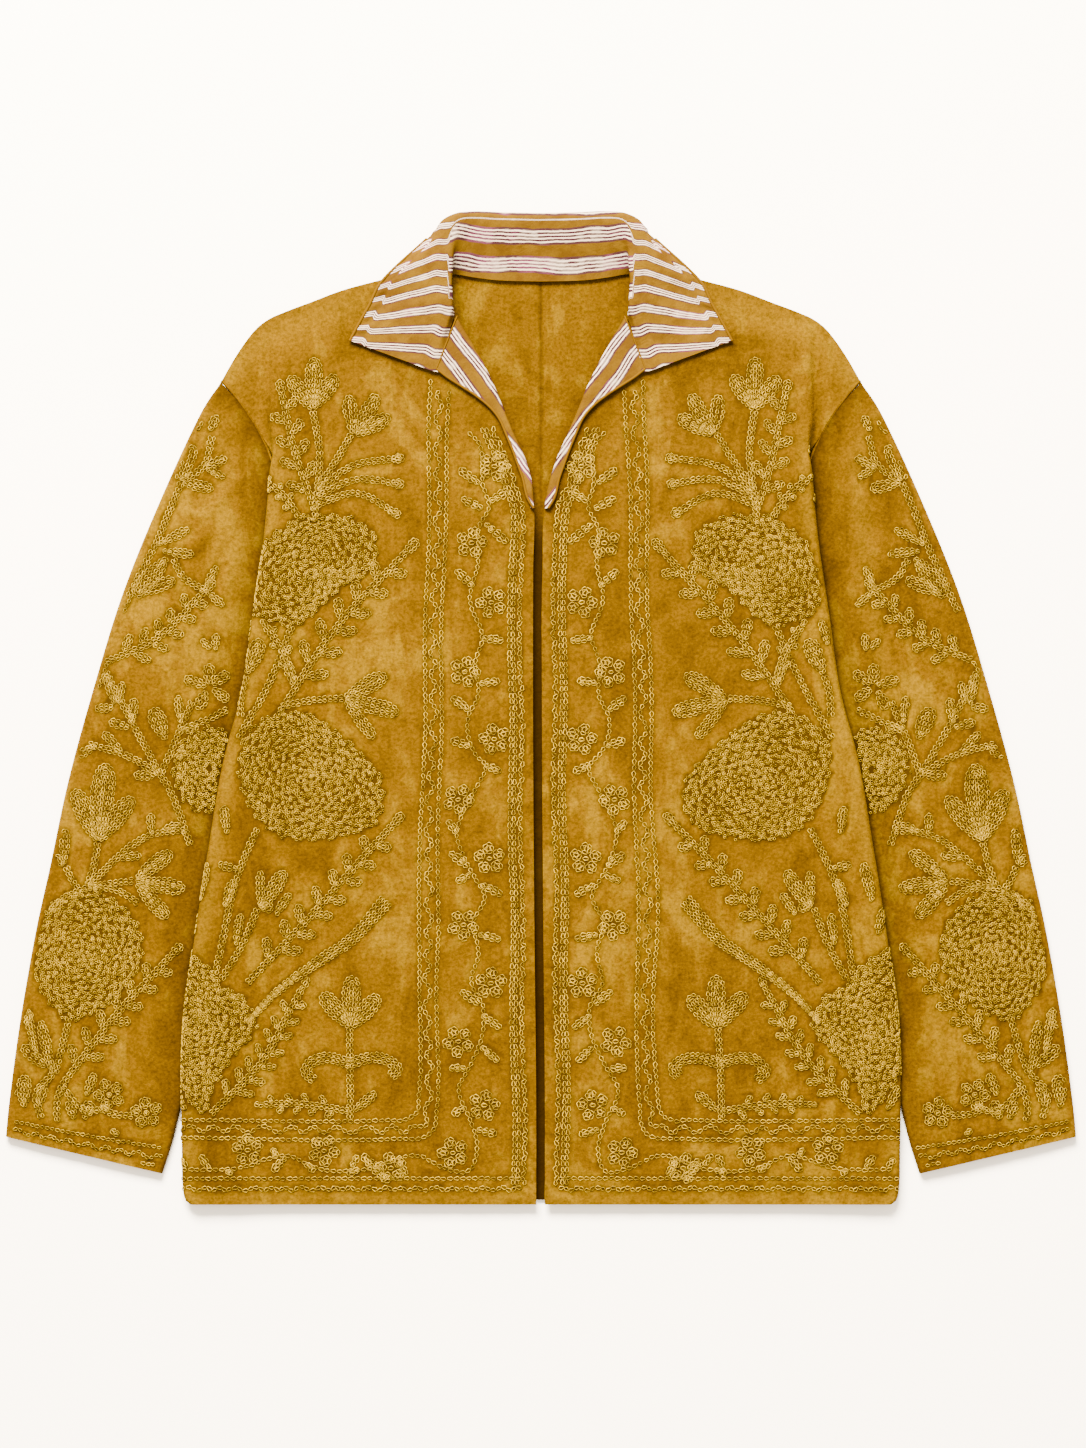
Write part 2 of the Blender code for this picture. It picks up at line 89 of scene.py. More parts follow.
def table(names, *rows):
    """Columns by name, in metres; a name that ends in _deg is read in radians."""
    columns = {}
    for name, values in zip(names.split(), zip(*rows)):
        unit = math.pi / 180 if name.endswith("_deg") else MM
        columns[name] = np.array(values, float) * unit
    return columns


# The free edge of a front: half the gap at each height, and how far the gap's middle lies off centre.
CENTRE_EDGE = table(
    "y half_gap shift",
    (-360, 3.2, -0.3), (-290, 3.2, -0.3), (-150, 3.3, -1.6), (0, 3.3, -2.5), (100, 3.4, -2.3),
    (152, 4.4, -1), (172, 7.8, 0), (184, 12, 0), (205, 21.5, 0), (234, 33.5, 0), (250, 41, 0), (265, 49, 0),
    (286, 61, 0), (300, 65.5, 0), (327, 66.5, 0),
)

# The side of a front: where its edge folds over, how high that fold stands, and the level below it.
SIDE_FOLD = table(
    "y fold_x fold_z low_z",
    (-361, 255.4, 9.6, 2.9), (-359.2, 258, 9.6, 2.9), (-355.5, 260, 9.6, 2.9), (-350, 260.8, 9.7, 2.9),
    (-325, 261.6, 10.2, 2.9), (-300, 261.8, 11.6, 4.8), (-285, 261.8, 12.6, 6.4), (-270, 261.8, 13.4, 7),
    (-227, 260.2, 14.8, 7), (-160, 251.1, 15.6, 7), (-99, 241.6, 16, 7), (-33, 230, 16, 7), (8, 219, 16, 7),
    (68, 209.9, 16, 7), (127, 201.5, 16, 7), (181, 197.1, 15.4, 6.9), (208, 196.2, 14.2, 6.6),
    (233, 195, 12.2, 6.4), (262, 194, 9.4, 6), (285, 195, 6.4, 5.6),
)

# The shoulder seam and the back's neck edge, from the neck out.
SHOULDER = table(
    "x y",
    (64, 326.5), (91, 319.7), (115, 313.2), (147, 304.4), (168, 296.4), (188, 288.8), (198, 284.3),
    (208, 276.7), (215, 268), (224, 254.5), (232.5, 239.4),
)

BACK_NECK = table(
    "x y",
    (0, 314.4), (30, 315.2), (48, 317.2), (60, 319.6), (68, 323.6),
)

# A sleeve, from the armhole to the cuff: its folded outer edge and the edge tucked under the body.
SLEEVE = table(
    "outer_x outer_y inner_x inner_y puff",
    (232.5, 239.4, 191.3, 108.8, 0.4), (249, 213.9, 194.2, 92, 1.2), (277.4, 152.6, 201.5, 50.4, 2.4),
    (305.1, 84, 211, -3.7, 2.4), (326.3, 15.3, 221.9, -65.7, 2.4), (344.6, -51.8, 232.1, -124.8, 2.4),
    (357.7, -113.2, 241.6, -177.4, 2.4), (368.7, -163.5, 248.9, -219.7, 2.4),
    (380, -228.5, 257.4, -265.7, 2.2), (387.6, -284.7, 267.5, -311, 1.4), (390.3, -311.7, 276, -338.7, 0.8),
)

# Cross-sections of half the collar, from the centre back to the front of the wing. Each starts at the neck
# seam, climbs at an angle of lean, rolls over at the fold in the direction of turn, and ends at the free
# edge, which it reaches from outside where reach is positive and from inside where it is negative.
COLLAR = table(
    "neck_x neck_y neck_z lean_deg fold_x fold_y fold_z turn_deg rise edge_x edge_y edge_z reach",
    (0, 311.5, 5.4, 8, 0, 356.2, 16, 90, 0, 0, 321, 0, 44),
    (29, 312.3, 5.4, 8, 29, 356.8, 16, 90, 0, 29, 321.6, 0, 44),
    (47, 314.3, 5.4, 10, 47, 357.6, 17, 84, 0, 47, 328.5, 0, 36),
    (58.5, 316.3, 5.2, 25, 58.5, 356.4, 19, 66, 1, 61, 341.5, 0.4, 20),
    (63.5, 316.8, 4.6, 45, 64.5, 351, 20, 38, 8, 73, 349.4, 4, 6),
    (65.6, 314.8, 3.6, 68, 67.4, 342.4, 20, 8, 8, 90, 336, 9, -7),
    (66.2, 310, 3, 82, 68.2, 329, 20, -14, 4, 115.3, 311.7, 12, -18),
    (65.8, 300.5, 3, 85, 68, 310, 19.6, -17, 0, 124.5, 294.5, 11.6, -22),
    (64.4, 291.5, 3.2, 85, 67, 297, 19, -15, 0, 131, 283, 11.4, -24),
    (63.2, 286.4, 10.8, 60, 66.4, 287.6, 17, -10, 0, 134.5, 276.6, 11.3, -24),
    (68.6, 268, 11, 20, 73, 269.4, 13.2, 4, 0, 137, 272, 11.2, -22),
    (74.5, 245, 10.9, 4, 81, 246.6, 11.4, 20, 0, 139, 268, 11.1, -22),
)

# The turned-back lapel, from its lowest point up to the gorge seam: rolled edge and free edge.
LAPEL = table(
    "roll_x roll_y edge_x edge_y",
    (3.9, 146, 5.4, 146.2), (4.4, 154, 10.2, 154.6), (6.4, 166, 13, 167), (8.9, 175, 16.5, 177.2),
    (12, 184, 20.5, 188.2), (16.6, 194.5, 25.2, 199.7), (21.5, 205.4, 30.4, 211.3), (27.2, 219, 38, 220.5),
    (33.5, 234.5, 48.2, 228.6), (41, 250, 59, 235.6), (49, 265, 68, 241.4), (56.5, 277.5, 73.2, 245.4),
    (61, 285.5, 76, 247.6),
)

# Large soft folds that the CAD solids have too: place, direction, half length, half width and height.
FRONT_FOLDS = table(
    "x y heading_deg length width height",
    (178, 168, 62, 46, 9, 1.6), (160, 150, 70, 52, 8, -1.3), (188, 20, 84, 80, 10, -1.8),
    (206, -120, 98, 70, 11, 1.5), (120, -320, 4, 70, 9, -1), (60, 60, 88, 120, 10, -0.9),
)
SLEEVE_FOLDS = table(
    "x y heading_deg length width height",
    (262, 96, -62, 60, 9, 1.6), (252, 30, -66, 70, 10, -1.4), (300, -40, -30, 38, 9, 1.4),
    (290, -150, -72, 60, 11, -1.3),
)

# Smaller creases of each front and each sleeve, listed one by one and different on the two sides.
CREASES = {
    "front_left": table(
        "x y heading_deg length width height",
        (186, 205, 58, 34, 4, 1), (176, 188, 52, 30, 3.4, -0.8), (192, 150, 70, 26, 3.6, 0.9),
        (150, 176, 40, 24, 4, 0.5), (196, 92, 74, 30, 4.2, -0.9), (204, 58, 80, 34, 4, 0.8),
        (212, -12, 86, 30, 4.4, -0.9), (198, -30, 70, 30, 5, 0.7), (226, -62, 100, 28, 4, 0.9),
        (220, -98, 104, 34, 4.4, -0.8), (238, -150, 102, 30, 4, 0.9), (232, -190, 96, 32, 4.6, -0.8),
        (246, -226, 94, 26, 4, 0.7), (222, -250, 84, 34, 5, -0.6), (180, -318, 6, 34, 4.6, 0.6),
        (96, -312, -4, 36, 5, -0.5), (226, -330, 10, 26, 4.2, -0.6), (40, 128, 86, 44, 5, -0.5),
        (44, -150, 90, 60, 6, 0.4), (92, 258, -12, 38, 6, 0.6), (150, 268, -20, 36, 6, -0.6),
        (176, 250, 80, 24, 4.4, 0.7),
    ),
    "front_right": table(
        "x y heading_deg length width height",
        (182, 196, 64, 36, 4.2, 1), (170, 214, 50, 26, 3.6, -0.8), (188, 136, 66, 30, 3.8, -0.9),
        (196, 108, 72, 26, 3.6, 0.8), (150, 150, 34, 26, 4.4, 0.5), (200, 40, 84, 34, 4.4, 0.9),
        (208, 4, 78, 28, 4, -0.9), (214, -44, 92, 34, 4.4, 0.8), (226, -84, 96, 28, 4, -0.9),
        (232, -128, 106, 32, 4.4, 0.9), (240, -176, 94, 30, 4.2, -0.8), (236, -214, 92, 30, 4.4, 0.8),
        (250, -262, 88, 26, 4, -0.6), (214, -282, 80, 30, 5, 0.5), (150, -326, -6, 36, 4.8, -0.6),
        (210, -322, 8, 28, 4.2, 0.6), (70, -318, 4, 34, 5, 0.5), (46, 90, 92, 44, 5, 0.5),
        (42, -90, 88, 60, 6, -0.4), (104, 262, -16, 38, 6, -0.6), (160, 262, -24, 34, 6, 0.6),
        (180, 240, 74, 24, 4.4, -0.7),
    ),
    "sleeve_left": table(
        "x y heading_deg length width height",
        (238, 168, -50, 34, 4, 1.2), (228, 140, -58, 34, 4.4, -1), (242, 116, -48, 36, 4.4, 1.1),
        (262, 138, -40, 26, 4, -0.8), (232, 84, -66, 34, 4.2, 1), (256, 62, -52, 34, 4.4, -0.9),
        (282, 60, -24, 26, 4.2, 0.7), (240, 12, -70, 40, 4.6, 1), (262, -14, -58, 34, 4.4, -0.9),
        (296, -4, -18, 26, 4.4, 0.6), (256, -70, -72, 36, 4.6, 0.9), (286, -92, -40, 30, 4.4, -0.7),
        (270, -140, -74, 38, 4.8, 0.9), (300, -168, -60, 34, 4.6, -0.6), (282, -214, -80, 34, 4.6, 0.8),
        (300, -262, -76, 30, 4.6, -0.7), (336, -262, 20, 26, 4.4, 0.5), (340, -60, -66, 30, 4.4, 0.5),
        (352, -140, -70, 26, 4.4, -0.5), (320, -308, 12, 30, 4, 0.5),
    ),
    "sleeve_right": table(
        "x y heading_deg length width height",
        (234, 178, -54, 30, 4, -1.1), (236, 150, -46, 36, 4.2, 1.2), (226, 118, -60, 34, 4.4, -1),
        (254, 120, -42, 30, 4.2, 0.9), (240, 70, -60, 36, 4.4, 1), (268, 84, -30, 26, 4.2, -0.8),
        (232, 34, -70, 34, 4.2, -0.9), (254, 2, -62, 38, 4.6, 1), (290, 22, -20, 26, 4.2, 0.6),
        (246, -44, -74, 36, 4.6, -0.9), (278, -50, -48, 32, 4.4, 0.8), (262, -108, -70, 38, 4.6, 0.9),
        (296, -120, -44, 28, 4.4, -0.7), (276, -176, -78, 36, 4.8, -0.8), (310, -200, -54, 30, 4.6, 0.6),
        (288, -244, -82, 32, 4.6, 0.8), (308, -288, -70, 26, 4.4, -0.6), (346, -240, 26, 26, 4.4, 0.5),
        (334, -30, -60, 30, 4.4, -0.5), (356, -170, -72, 26, 4.4, 0.5),
    ),
}

# Motifs are given as distance out from the centre line and height up from the origin, in millimetres. A
# petal runs from its base to its tip.
FRONT_PETALS = table(
    "base_x base_y tip_x tip_y width",
    (156.3, 217.1, 139.7, 244.1, 13), (156.3, 217.1, 156.7, 257.4, 13.5), (156.3, 217.1, 174.9, 243.1, 13),
    (126, 198.7, 99.2, 213.8, 12.5), (126, 198.7, 109, 230.4, 12), (126.6, 199.1, 130.9, 229.8, 11.5),
    (135.2, 7.6, 102.6, 25.2, 13.5), (135.2, 7.6, 93.8, -3.2, 13.5), (135.2, 7.2, 112.3, -22.7, 10),
    (205.2, 24.2, 193.4, 51.6, 14), (209.1, 44.7, 203.6, 66.2, 7), (128.5, -232.6, 107.8, -207.8, 14),
    (128.5, -232.6, 128.5, -193, 14.5), (128.5, -232.6, 150.8, -206, 14), (129, -293.3, 110.8, -278.7, 8.5),
    (195.8, -147, 176.6, -116.6, 12), (195.8, -145, 194.8, -116.6, 8), (185.7, -151.1, 173.5, -132.9, 7.5),
    (197.9, -141, 185.7, -147, 9), (218.1, -92.3, 221.1, -69, 8), (210, -116.6, 226.2, -112.6, 8),
    (222.2, -145, 214.1, -122.7, 8), (240.4, -141, 233.3, -110.6, 9), (214.1, -173.4, 210, -147, 7.5),
    (244.4, -165.3, 248.5, -143, 8), (250.5, -292.9, 259.6, -272.6, 8), (102.7, -343.5, 118.9, -327.3, 9),
    (205, 176, 196, 193, 7), (196, 150, 207, 158, 7),
)
# Broad flower heads, each as places round its rim.
FRONT_PATCHES = [
    [(170.5, 60.7), (158.1, 67.4), (146.6, 78.9), (131.4, 92.2), (119, 97.9), (111.4, 108.9), (111.4, 119),
     (115.2, 129.8), (124.7, 135.6), (135.2, 140.3), (143.8, 141), (154.3, 140.7), (167.6, 139.7),
     (176.2, 133.6), (186.7, 126), (194.3, 118.4), (199.1, 105), (202, 93), (203, 80.8), (198.1, 69.3),
     (186.7, 64.6)],
    [(176.2, -2.2), (186.7, -4.2), (196.3, -9.9), (204.8, -18.5), (210, -30), (210, -45.2), (206.7, -60.4),
     (200, -73.7), (192.4, -83.3), (179.1, -91.9), (163.8, -95.1), (148.6, -94.8), (129.5, -91),
     (114.2, -85.2), (106.6, -75.7), (105.6, -60.4), (108.5, -49), (118, -37.5), (127.6, -28), (139, -18.5),
     (150.5, -9.9), (161.9, -4.2)],
    [(236, -294), (231, -277), (213, -251), (198, -231), (203, -216), (209.5, -208), (221, -203),
     (231, -190), (252, -175), (268, -172), (278, -190), (279, -216), (272, -245), (256, -272)],
]
# A spray: the start, middle and end of its stem, pairs of leaflets, and a leaflet's length and width.
FRONT_SPRAYS = [
    ((181.7, -2.2), (136.8, 62.3), (90.8, 113.1), 6, 19, 9),
    ((156.3, 144.4), (166.1, 175.7), (178.8, 228.4), 4, 16, 8.4),
    ((168, 139.5), (177.8, 154.2), (193.4, 166.9), 3, 8, 6),
    ((204.5, -199.5), (151, -141.5), (98.6, -85), 7, 16.5, 8.6),
    ((232, -295), (194, -257), (165, -204.5), 7, 14.5, 6.8),
    ((131, -292.9), (163.4, -287.8), (193.8, -287.8), 4, 10, 6.2),
    ((170, 20), (176, 38), (190, 60), 2, 9, 6.2),
]
# Stems, stalks that end in a rounded head, and the arms of the low plant, each as places along it.
FRONT_STEMS = [
    [(156.3, 217.1), (151.4, 185.4), (153.4, 162)],
    [(128, 200.1), (141.7, 177.6), (154, 160)],
    [(153.4, 162), (155.3, 152.2), (156.3, 139.5)],
    [(171, 60.7), (185.6, 25.2), (212, -21.7)],
    [(135.2, 7.6), (156.3, 6.6), (181.7, 1.7)],
    [(205.2, 24.2), (209.1, 9.5), (210.1, -6.1)],
    [(196.2, -86.7), (212, -122.7), (228.2, -193.6)],
    [(197.9, -145), (208, -169.3), (223.2, -196.7)],
    [(129, -232.1), (130, -264.5), (131, -298.9)],
]
FRONT_CLUBS = [
    [(153.4, 158.1), (130.9, 175.7), (91.9, 183)],
    [(154.4, 154.2), (127, 166.9), (92.8, 163.6)],
    [(155.3, 148.3), (127, 157.1), (95.8, 141.5)],
]
FRONT_ARMS = [
    [(129.3, -258), (113.6, -254), (102, -255.7), (95.4, -262.4), (100.4, -268)],
    [(129.3, -258), (146.7, -254), (158.3, -257.4), (162.4, -264), (155.8, -270.6)],
]
LONG_CLUB = [
    (104, -139), (130, -168), (158, -187), (185, -208), (204, -229),
]
# The frame round the border: two plain rows and the zigzag between them. They turn the corner at the hem.
FRAME_LINES = [
    [(61.5, 232), (65.7, 109), (67.6, 20), (68.6, -52), (71, -180), (71.8, -294), (73.6, -306), (81, -312),
     (98, -313), (262, -312)],
    [(75.2, 240), (77.6, 109), (80.2, -20), (81, -66), (84.4, -139), (84.6, -284), (86, -293.5),
     (92, -298.6), (108, -299.4), (262, -299)],
]
FRAME_WAVE = [
    (68.3, 232), (71.6, 109), (74.2, -20), (75.8, -90), (77.8, -180), (78.4, -288), (80.4, -300),
    (88, -305.6), (104, -306), (262, -305.5),
]
# The vine in the border: the middles of its small flowers, its stem and its leaves.
VINE_FLOWERS = [
    (46.2, 120.8), (30.6, 77.7), (50.2, 26.8), (29.6, -22.1), (54.5, -66), (32.1, -109), (52.4, -157.3),
    (31.2, -199.8), (54.4, -242.3), (37, -288.7), (59.6, -323.2), (28.6, 176.6), (104.5, -334.5),
    (153.5, -321.8), (209, -321),
]
VINE_STEMS = [
    [(47, 202), (39.4, 193.2), (37.4, 161.9), (33.5, 146.3), (40.3, 134.6), (41.3, 104.3), (46.2, 78.8),
     (36.5, 52.3), (42.3, 34.9), (41.3, 9.2), (49.2, -7.5), (44.3, -31.9), (35.5, -41.7), (43.6, -60.3),
     (55.3, -90.5), (44.7, -120.4), (36, -136.9), (45.6, -156.1), (40.9, -177.5), (45.7, -199.8),
     (36, -218.2), (37, -238.4), (46.6, -260.4), (55.3, -277), (46.6, -301.1), (41.9, -319.6), (47.7, -337),
     (66, -334), (84.3, -325.4), (122.9, -335.4), (155.3, -335.4), (181.6, -325.1), (214.1, -334.3),
     (256.6, -335.4)],
]
VINE_LEAVES = table(
    "base_x base_y tip_x tip_y width",
    (38.5, 163, 56, 175.7, 7.5), (36.5, 145, 55, 154.1, 7.5), (43.3, 88, 58, 102.3, 7.5),
    (47, -2, 61.9, 9.4, 7.5), (46, -28, 62.9, -22, 7.5), (54, -92, 63, -80.1, 7),
    (46, -116, 62.1, -104.1, 7.5), (44.7, -120, 58.2, -126.5, 7), (38, -216, 54.3, -204.5, 7.5),
    (48, -262, 62.9, -261.6, 7), (50, -289, 61.9, -296.4, 7), (34.5, 150, 17.9, 160.2, 7.5),
    (38, 136, 18.9, 119.8, 7.5), (38.5, 52, 19.9, 49.4, 7), (41.5, 18, 23.8, 20.9, 7),
    (38, -40, 22.8, -46.6, 7), (40, -127, 22.5, -136, 7), (43, -164, 23.5, -168.1, 7),
    (38, -222, 22.5, -233.6, 7), (39, -245, 24.4, -257.8, 7), (44, -306, 26.4, -310.1, 7),
    (100, -329, 92, -341, 7), (134, -335, 128, -323.5, 7), (180, -325, 192, -338, 7),
    (186, -327, 193, -319, 6.5), (236, -336, 244, -324, 7), (119, -334, 126, -323, 7),
    (126, -335, 138, -339, 6.5), (168, -330, 158, -338, 7), (226, -335, 218, -340, 6.5),
    (252, -335, 259, -326, 7),
)
# The same kinds of motif on a sleeve.
SLEEVE_PETALS = table(
    "base_x base_y tip_x tip_y width",
    (240.7, 201.1, 234.8, 214.8, 8), (253.4, 199.1, 245.6, 212.8, 7), (262.2, 164.9, 252, 193.3, 11),
    (262.2, 164.9, 237.8, 160, 10), (244.6, 175.7, 227, 183.5, 8), (244.6, 175.7, 229, 167.9, 7),
    (264.1, 165.9, 270, 175.7, 7), (280.8, 119, 255.9, 131.7, 8), (277.8, 115.1, 251.4, 112.2, 8),
    (272, 111.2, 296.4, 80.9, 15), (293.5, 83.8, 265.1, 94.6, 11), (244.6, 86.7, 235.8, 105.3, 7),
    (244.6, 86.7, 229, 74, 7), (241.7, 16.4, 241.7, 34, 10), (242.6, 16.4, 261.2, 22.3, 9.5),
    (243.6, 14.4, 251.5, -1.3, 10), (240.7, 15.4, 227, 5.6, 9.5), (240.7, 17.4, 226, 27.1, 9.5),
    (236.8, 40.8, 235.8, 56.4, 7), (238.7, 42.8, 247.5, 51.6, 7), (263.2, -12, 265.1, 11.5, 7),
    (264.1, -15.9, 249.5, -12, 9), (273.9, -23.7, 283.7, 1.7, 14), (311, 1.7, 316.9, 27.1, 7.5),
    (309.1, 2.7, 304.2, 21.3, 7.5), (311, 1.7, 326.6, -0.2, 8), (299.3, -12, 296.4, 9.5, 8),
    (299.3, -13.9, 316.9, -9, 8), (305.2, -32.5, 320.8, -15.9, 8), (279.8, -49.1, 297.4, -48.1, 9),
    (324.6, -25.7, 338.4, -35.4, 9), (321.7, -97.3, 295.9, -63.3, 15), (321.7, -97.3, 316.9, -38.6, 19),
    (321.7, -97.3, 339.8, -57.6, 15), (295.9, -124.4, 267.2, -103.4, 12.5),
    (296.8, -125.3, 258.6, -131.1, 13), (295.9, -126.3, 272, -153, 12.5), (347.4, -114.8, 345.5, -86.3, 9),
    (347.3, -115.8, 354.1, -105.2, 8), (282.5, -92.9, 283.5, -74.7, 7.5), (276.8, -90, 261.4, -83.2, 7.5),
    (307.3, -109.1, 289.2, -106.2, 8), (355.1, -267.6, 363.7, -225.6, 9), (358.9, -261.9, 378, -244.7, 11),
    (366.5, -254.2, 374.2, -216.1, 7.5), (378, -233.3, 369.4, -219.9, 8),
    (334.1, -300.2, 328.3, -284.7, 11), (332.2, -283, 324.5, -263.8, 8.5),
    (339.8, -300.1, 345.5, -284.7, 8.5), (315, -305.7, 307.2, -311.5, 7), (366.5, -290.6, 361.7, -271.4, 9),
    (378, -291.5, 376.1, -265.7, 12), (383.7, -286.7, 386.6, -269.4, 9),
)
SLEEVE_PATCHES = [
    [(343, -226), (322, -219), (302, -203), (291.5, -180), (295, -158), (309, -141), (330, -133),
     (350, -137), (364, -152), (370, -174), (367, -196), (357, -214)],
    [(246, -75), (226, -66), (214, -45), (222, -24), (240, -14), (257, -19), (267, -34), (266, -54),
     (258, -68)],
]
SLEEVE_SPRAYS = [
    ((316.9, 34), (279.8, 50.6), (244.6, 85.8), 5, 15, 8),
    ((349.3, -274.3), (309.2, -223.7), (270.1, -179.8), 6, 16, 8.2),
]
SLEEVE_STEMS = [
    [(238.7, 199.1), (244.6, 177.6), (262.2, 164.9)],
    [(262.2, 164.9), (272, 142.4), (279.8, 122.9)],
    [(279.8, 122.9), (291.5, 99.4), (304.8, 70.5)],
    [(268.1, 109.2), (260.2, 95.5), (244.6, 86.7)],
    [(316.9, 34), (320.8, 23.2), (323.8, 15.4)],
    [(254.4, 5.6), (262.2, -12), (276.8, -47.1)],
    [(229, -0.2), (244.6, -8), (264.1, -15.9)],
    [(316.9, 27.1), (297.4, -12), (277.8, -47.1)],
    [(277.8, -47.1), (303.2, -33.5), (330.6, -25.6)],
    [(277.8, -47.1), (273, -53.7), (254.3, -99.6)],
    [(257.7, -88.1), (280.6, -91), (330.3, -128.2)],
    [(321.7, -97.3), (325.5, -114.8), (330.6, -129.2)],
    [(296.8, -125.3), (315, -127.3), (330.6, -130.1)],
    [(294, -141.6), (309.2, -132), (330.6, -130.1)],
    [(345.5, -114.8), (342.7, -122.5), (336.9, -131.1)],
    [(330.6, -130.1), (347.4, -137.8), (357.9, -147.3)],
    [(342.7, -224.6), (347.4, -244.7), (354.1, -265.7)],
    [(349.3, -274.3), (353.2, -286.7), (353.2, -301)],
    [(315, -290.5), (332.2, -292.4), (349.3, -275.2)],
    [(364.6, -298.2), (368.4, -281), (355.1, -265.7)],
    [(297.8, -296.2), (315, -294.3), (322.6, -288.6)],
]
SLEEVE_FLOWERS = [
    (288.2, -294.2), (315, -281),
]


# Heights of the groups of pale lines: on the wings, read at the fold, and on the stand, at its middle.
WING_STRIPES = np.array((232.0, 247.0, 261.6, 276.8, 291.8, 307.4, 319.0, 331.2, 342.4, 352.6, 362.0)) * MM
STAND_STRIPES = np.array((302.2, 322.6, 343.0, 363.4)) * MM


def ease(t):
    """Smooth step from 0 to 1."""
    t = np.clip(t, 0.0, 1.0)
    return t * t * (3.0 - 2.0 * t)


def mix(a, b, t):
    """The value t of the way from a to b."""
    return a + (b - a) * t


def smooth(at, knots, values):
    """Smooth curve through the values: cubic pieces that keep one slope at each knot."""
    at = np.clip(at, knots[0], knots[-1])
    slope = np.gradient(values, knots)
    i = np.clip(np.searchsorted(knots, at) - 1, 0, len(knots) - 2)
    step = knots[i + 1] - knots[i]
    t = (at - knots[i]) / step
    rise = values[i + 1] - values[i]
    start, end = slope[i] * step, slope[i + 1] * step
    return values[i] + t * (start + t * ((3 * rise - 2 * start - end) + t * (start + end - 2 * rise)))


def along_rows(rows, at):
    """Every column of a table read at a share of the way from its first row to its last."""
    knots = np.linspace(0.0, 1.0, len(next(iter(rows.values()))))
    return {name: smooth(at, knots, values) for name, values in rows.items()}


def bezier(a, b, c, d, t):
    """Cubic curve from a to d that leaves towards b and arrives from c."""
    s = 1.0 - t
    return s**3 * a + 3 * s * s * t * b + 3 * s * t * t * c + t**3 * d


def fold_height(folds, x, y):
    """Sum of soft ridges and troughs, each a rounded bar that fades out at its ends."""
    total = np.zeros(np.broadcast(x, y).shape)
    for i in range(len(folds["x"])):
        heading = folds["heading_deg"][i]
        dx, dy = x - folds["x"][i], y - folds["y"][i]
        ahead = (dx * math.cos(heading) + dy * math.sin(heading)) / folds["length"][i]
        beside = (dy * math.cos(heading) - dx * math.sin(heading)) / folds["width"][i]
        total = total + folds["height"][i] * np.exp(-beside * beside) * ease(1.0 - np.abs(ahead))
    return total


def ripple(x, y, seed):
    """Faint uneven undulation of the cloth: a sum of five sine waves of different headings and lengths."""
    total = 0.0
    for i, (length, heading) in enumerate(((41, 0.3), (29, 1.4), (23, 2.3), (17, 0.9), (13, 2.9))):
        phase = seed * 1.7 + i * 2.1
        ahead = x * math.cos(heading) + y * math.sin(heading)
        total = total + np.sin(ahead * 2 * math.pi / (length * MM) + phase)
    return total / 5.0


def armhole_points(count):
    """The armhole from the shoulder point down to the underarm: a straight line bowed towards the body."""
    t = np.linspace(0.0, 1.0, count)
    top = np.array((SLEEVE["outer_x"][0], SLEEVE["outer_y"][0]))
    foot = np.array((SLEEVE["inner_x"][0], SLEEVE["inner_y"][0]))
    run = (foot - top) / np.linalg.norm(foot - top)
    bow = 4.0 * t * (1.0 - t) * ARMHOLE_BOW
    return (top + t[:, None] * (foot - top) + bow[:, None] * np.array((run[1], -run[0]))).T


def sleeve_side_x(y):
    """The sleeve's edge beside the back: the armhole, and below the underarm the tucked inner edge."""
    arm_x, arm_y = armhole_points(40)
    tucked = along_rows(SLEEVE, np.linspace(0.0, 1.0, 80)[1:])
    all_x, all_y = np.concatenate([arm_x, tucked["inner_x"]]), np.concatenate([arm_y, tucked["inner_y"]])
    return np.interp(y, all_y[::-1], all_x[::-1])


def side_fold(y):
    """Where a front's side folds over at a height, and how high the fold and the level below it are."""
    return {name: smooth(y, SIDE_FOLD["y"], SIDE_FOLD[name]) for name in ("fold_x", "fold_z", "low_z")}


def front_edge_x(side, y):
    """The front's own free edge, which lies inside the rolled edge where the lapel turns back."""
    gap = smooth(y, CENTRE_EDGE["y"], CENTRE_EDGE["half_gap"])
    shift = smooth(y, CENTRE_EDGE["y"], CENTRE_EDGE["shift"])
    inset = LAPEL_INSET * ease((y - 146 * MM) / (20 * MM))
    return gap + side * shift + inset


